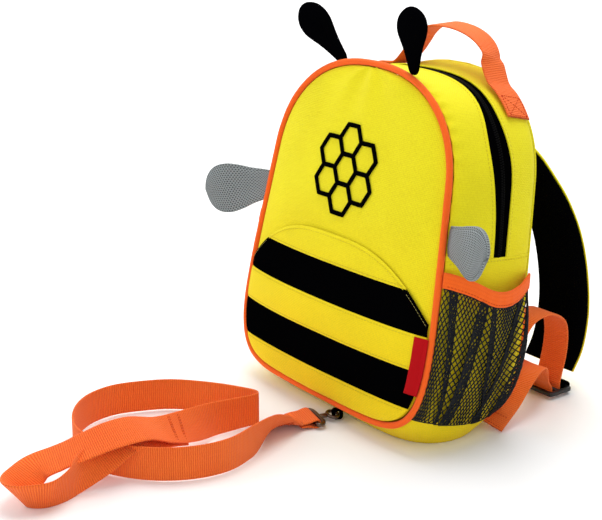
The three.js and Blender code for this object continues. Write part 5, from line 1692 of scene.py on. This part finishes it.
# x and y as shares of the reach, height as a share of the webbing's width, and tilt in degrees
tetherRoute = (
    (0.034, -0.275, 0.16, -8), (0.05, -0.315, 0.3, -30), (0.083, -0.37, 0.5, -66),
    (0.125, -0.45, 0.54, -88), (0.15, -0.53, 0.54, -90), (0.14, -0.61, 0.54, -90),
    (0.097, -0.687, 0.54, -90), (0.03, -0.745, 0.54, -90), (-0.045, -0.78, 0.54, -90),
    (-0.125, -0.782, 0.54, -90), (-0.212, -0.742, 0.54, -90), (-0.272, -0.675, 0.54, -90),
    (-0.29, -0.597, 0.54, -90), (-0.27, -0.522, 0.54, -90), (-0.235, -0.455, 0.54, -90),
    (-0.17, -0.393, 0.54, -90), (-0.098, -0.345, 0.54, -90), (-0.04, -0.32, 0.54, -90),
    (-0.028, -0.329, 0.54, -90), (-0.031, -0.375, 0.54, -92), (-0.034, -0.45, 0.57, -102),
    (-0.015, -0.53, 0.7, -124), (0.014, -0.62, 0.98, -146), (0.028, -0.7, 1.34, -157),
    (0.024, -0.77, 1.34, -156), (0.006, -0.84, 1.1, -158), (-0.012, -0.885, 0.9, -160),
    (-0.024, -0.93, 0.74, -158), (-0.016, -0.965, 0.58, -148), (-0.002, -0.995, 0.46, -134),
    (0.016, -1.006, 0.435, -128), (0.038, -1.0, 0.43, -122), (0.06, -0.975, 0.435, -116),
    (0.07, -0.945, 0.44, -113), (0.062, -0.905, 0.47, -102), (0.045, -0.87, 0.52, -90),
    (0.034, -0.83, 0.68, -70), (0.03, -0.785, 0.88, -48), (0.028, -0.73, 1.1, -28),
    (0.013, -0.64, 0.9, -33), (-0.013, -0.56, 0.66, -49),
)


def makeTether():
    bar = np.array([hookLook["x"], hookLook["y"], hookLook["lift"] + hookLook["thick"] / 2]) + hookAhead * 1.5
    clear = 1.6 + 0.3 + 0.8
    wrap = [(-12, -1.1), (-6, -1.5), (-1.5, -clear), (1.6, -clear), (2.9, -1.2), (2.9, 1.2), (1.6, clear),
            (-1.5, clear), (-6, 1.5), (-12, 1.1)]
    wrapped = np.array([bar + hookAhead * a + upright * b for a, b in wrap])
    free = np.array([(x * tetherReach, y * tetherReach, z * 25) for x, y, z, _ in tetherRoute])
    tilts = np.array([[0, 0, 0]] + [[t, 0, 0] for *_, t in tetherRoute], float)
    fine = smoothPath(np.concatenate([wrapped[-1:], free]), np.linspace(0, 1, 1800))
    tilt = np.radians(smoothPath(tilts, np.linspace(0, 1, 1800))[:, 0])
    ahead = unit(np.gradient(fine, axis=0))
    flat = unit(np.stack([ahead[:, 1], -ahead[:, 0], 0 * ahead[:, 0]], axis=1))
    sign = np.sign(np.dot(flat[0], hookSide))
    wide = flat * np.cos(tilt)[:, None] + upright * np.sin(tilt)[:, None]
    startPath = smoothPath(wrapped, np.linspace(0, 1, 120))
    startWide = np.repeat((hookSide * sign)[None], 120, axis=0)
    path = np.concatenate([startPath, fine[1:]])
    wide = np.concatenate([startWide, wide[1:]])
    along, path, wide = evenSamples(path, (wide,), 1.0)
    print("tether webbing", round(along[-1]), "mm")
    path[:, 2] = np.maximum(path[:, 2], 0.9)
    band, across, normal = webbingBand("tether", path, wide, bag["webbing"], bag["webbingThick"])
    finishPiece(band, "tetherWebbing", orangeWebbing, ["tether"])
    rows = []
    total = len(path)
    # the hand loop's end is sewn through to the webbing that it lies on
    out = path[:total - 150]
    for fromEnd in (4, 14):
        k = int(np.argmin(np.linalg.norm(out - path[-fromEnd], axis=1)))
        for step in (0, 1.4):
            w = np.linspace(-0.86, 0.86, 16)[:, None]
            lean = (path[k + 1] - path[k]) * (step + 3.5 * w)
            for face in (1, -1):
                line, lineFaces = rowAcross(path[k] + normal[k] * face * 0.95, across[k], normal[k] * face,
                                            0.86, 16)
                rows.append((line + lean, lineFaces))
    for first, stop in ((total - 26, total - 3), (38, 52)):
        for face in (1, -1):
            lifted = path + normal * face * 0.85
            faces = normal * face
            for k in (first, stop):
                line, lineFaces = rowAcross(lifted[k], across[k], faces[k], 0.82, 14)
                rows += [(line, lineFaces), (line + (path[k + 1] - path[k]) * 1.2, lineFaces)]
            for sign in (-1, 1):
                w = np.linspace(-0.82, 0.82, stop - first)[:, None] * sign
                sewn = lifted[first:stop] + across[first:stop] * w * bag["webbing"] / 2
                rows.append((sewn, faces[first:stop]))
    stitchPiece("tetherStitching", "orange_webbing", orangeThread, rows, pitch=2.2, length=1.8, width=0.5)


makeSnapHook()
makeTetherTab()
makeTether()
print("tether made")


# Floor, lights and camera

def makeFloor():
    clearSelection()
    bpy.ops.mesh.primitive_plane_add(size=30, location=(0, 0, 0))
    floor = bpy.context.object
    floor.name = "paperFloor"
    material, tree, shader = newMaterial("paper", 0.9, 0.0, 0.0, 0.1)
    coords = tree.nodes.new("ShaderNodeTexCoord")
    broad = noiseNode(tree, coords.outputs["Object"], 3.0, 3.0)
    tree.links.new(mixColor(tree, broad, (0.95, 0.95, 0.95), (0.93, 0.93, 0.93)), shader.inputs["Base Color"])
    floor.data.materials.append(material)


def areaLamp(name, place, target, size, power):
    clearSelection()
    bpy.ops.object.light_add(type="AREA", location=place)
    lamp = bpy.context.object
    lamp.name = name
    lamp.data.shape = "DISK"
    lamp.data.size = size
    lamp.data.energy = power
    direction = Vector(target) - Vector(place)
    lamp.rotation_euler = direction.to_track_quat("-Z", "Y").to_euler()


# place, target, size in metres and power in watts
lampLook = {
    "topSoftbox": ((-0.15, 0.25, 1.5), (0, 0, 0.1), 1.1, 15),
    "frontSoftbox": ((1.2, -1.5, 0.9), (0, 0, 0.12), 1.4, 4),
    "leftSoftbox": ((-1.3, -1.2, 1.0), (0, 0, 0.12), 1.2, 8),
    "backdropLamp": ((-3.4, 2.6, 2.6), (-3.4, 2.6, 0), 4.5, 150),
}
worldStrength = 0.62


def makeLights():
    for name, values in lampLook.items():
        areaLamp(name, *values)
    world = bpy.data.worlds.new("studio")
    bpy.context.scene.world = world
    world.use_nodes = True
    background = world.node_tree.nodes["Background"]
    background.inputs["Color"].default_value = (1.0, 1.0, 1.0, 1)
    background.inputs["Strength"].default_value = worldStrength


# the camera's place and its own axes
cameraLook = {
    "place": (0.72509, -0.60312, 0.40408), "right": (0.596825, 0.802371, 0.0),
    "up": (-0.2359, 0.1755, 0.9558), "forward": (-0.766897, 0.570439, -0.294056), "lens": 76.62, "sensor": 36,
}


def makeCamera():
    data = bpy.data.cameras.new("photoCamera")
    camera = bpy.data.objects.new("photoCamera", data)
    bpy.context.scene.collection.objects.link(camera)
    right, upward, forward = (Vector(cameraLook[axis]) for axis in ("right", "up", "forward"))
    rotation = Matrix((right, upward, -forward)).transposed().to_4x4()
    camera.matrix_world = Matrix.Translation(cameraLook["place"]) @ rotation
    data.sensor_width = cameraLook["sensor"]
    data.lens = cameraLook["lens"]
    data.clip_start = 0.01
    bpy.context.scene.camera = camera


makeFloor()
makeLights()
makeCamera()
bpy.context.scene.view_settings.view_transform = "Standard"
bpy.context.scene.view_settings.look = "None"
print("scene made")
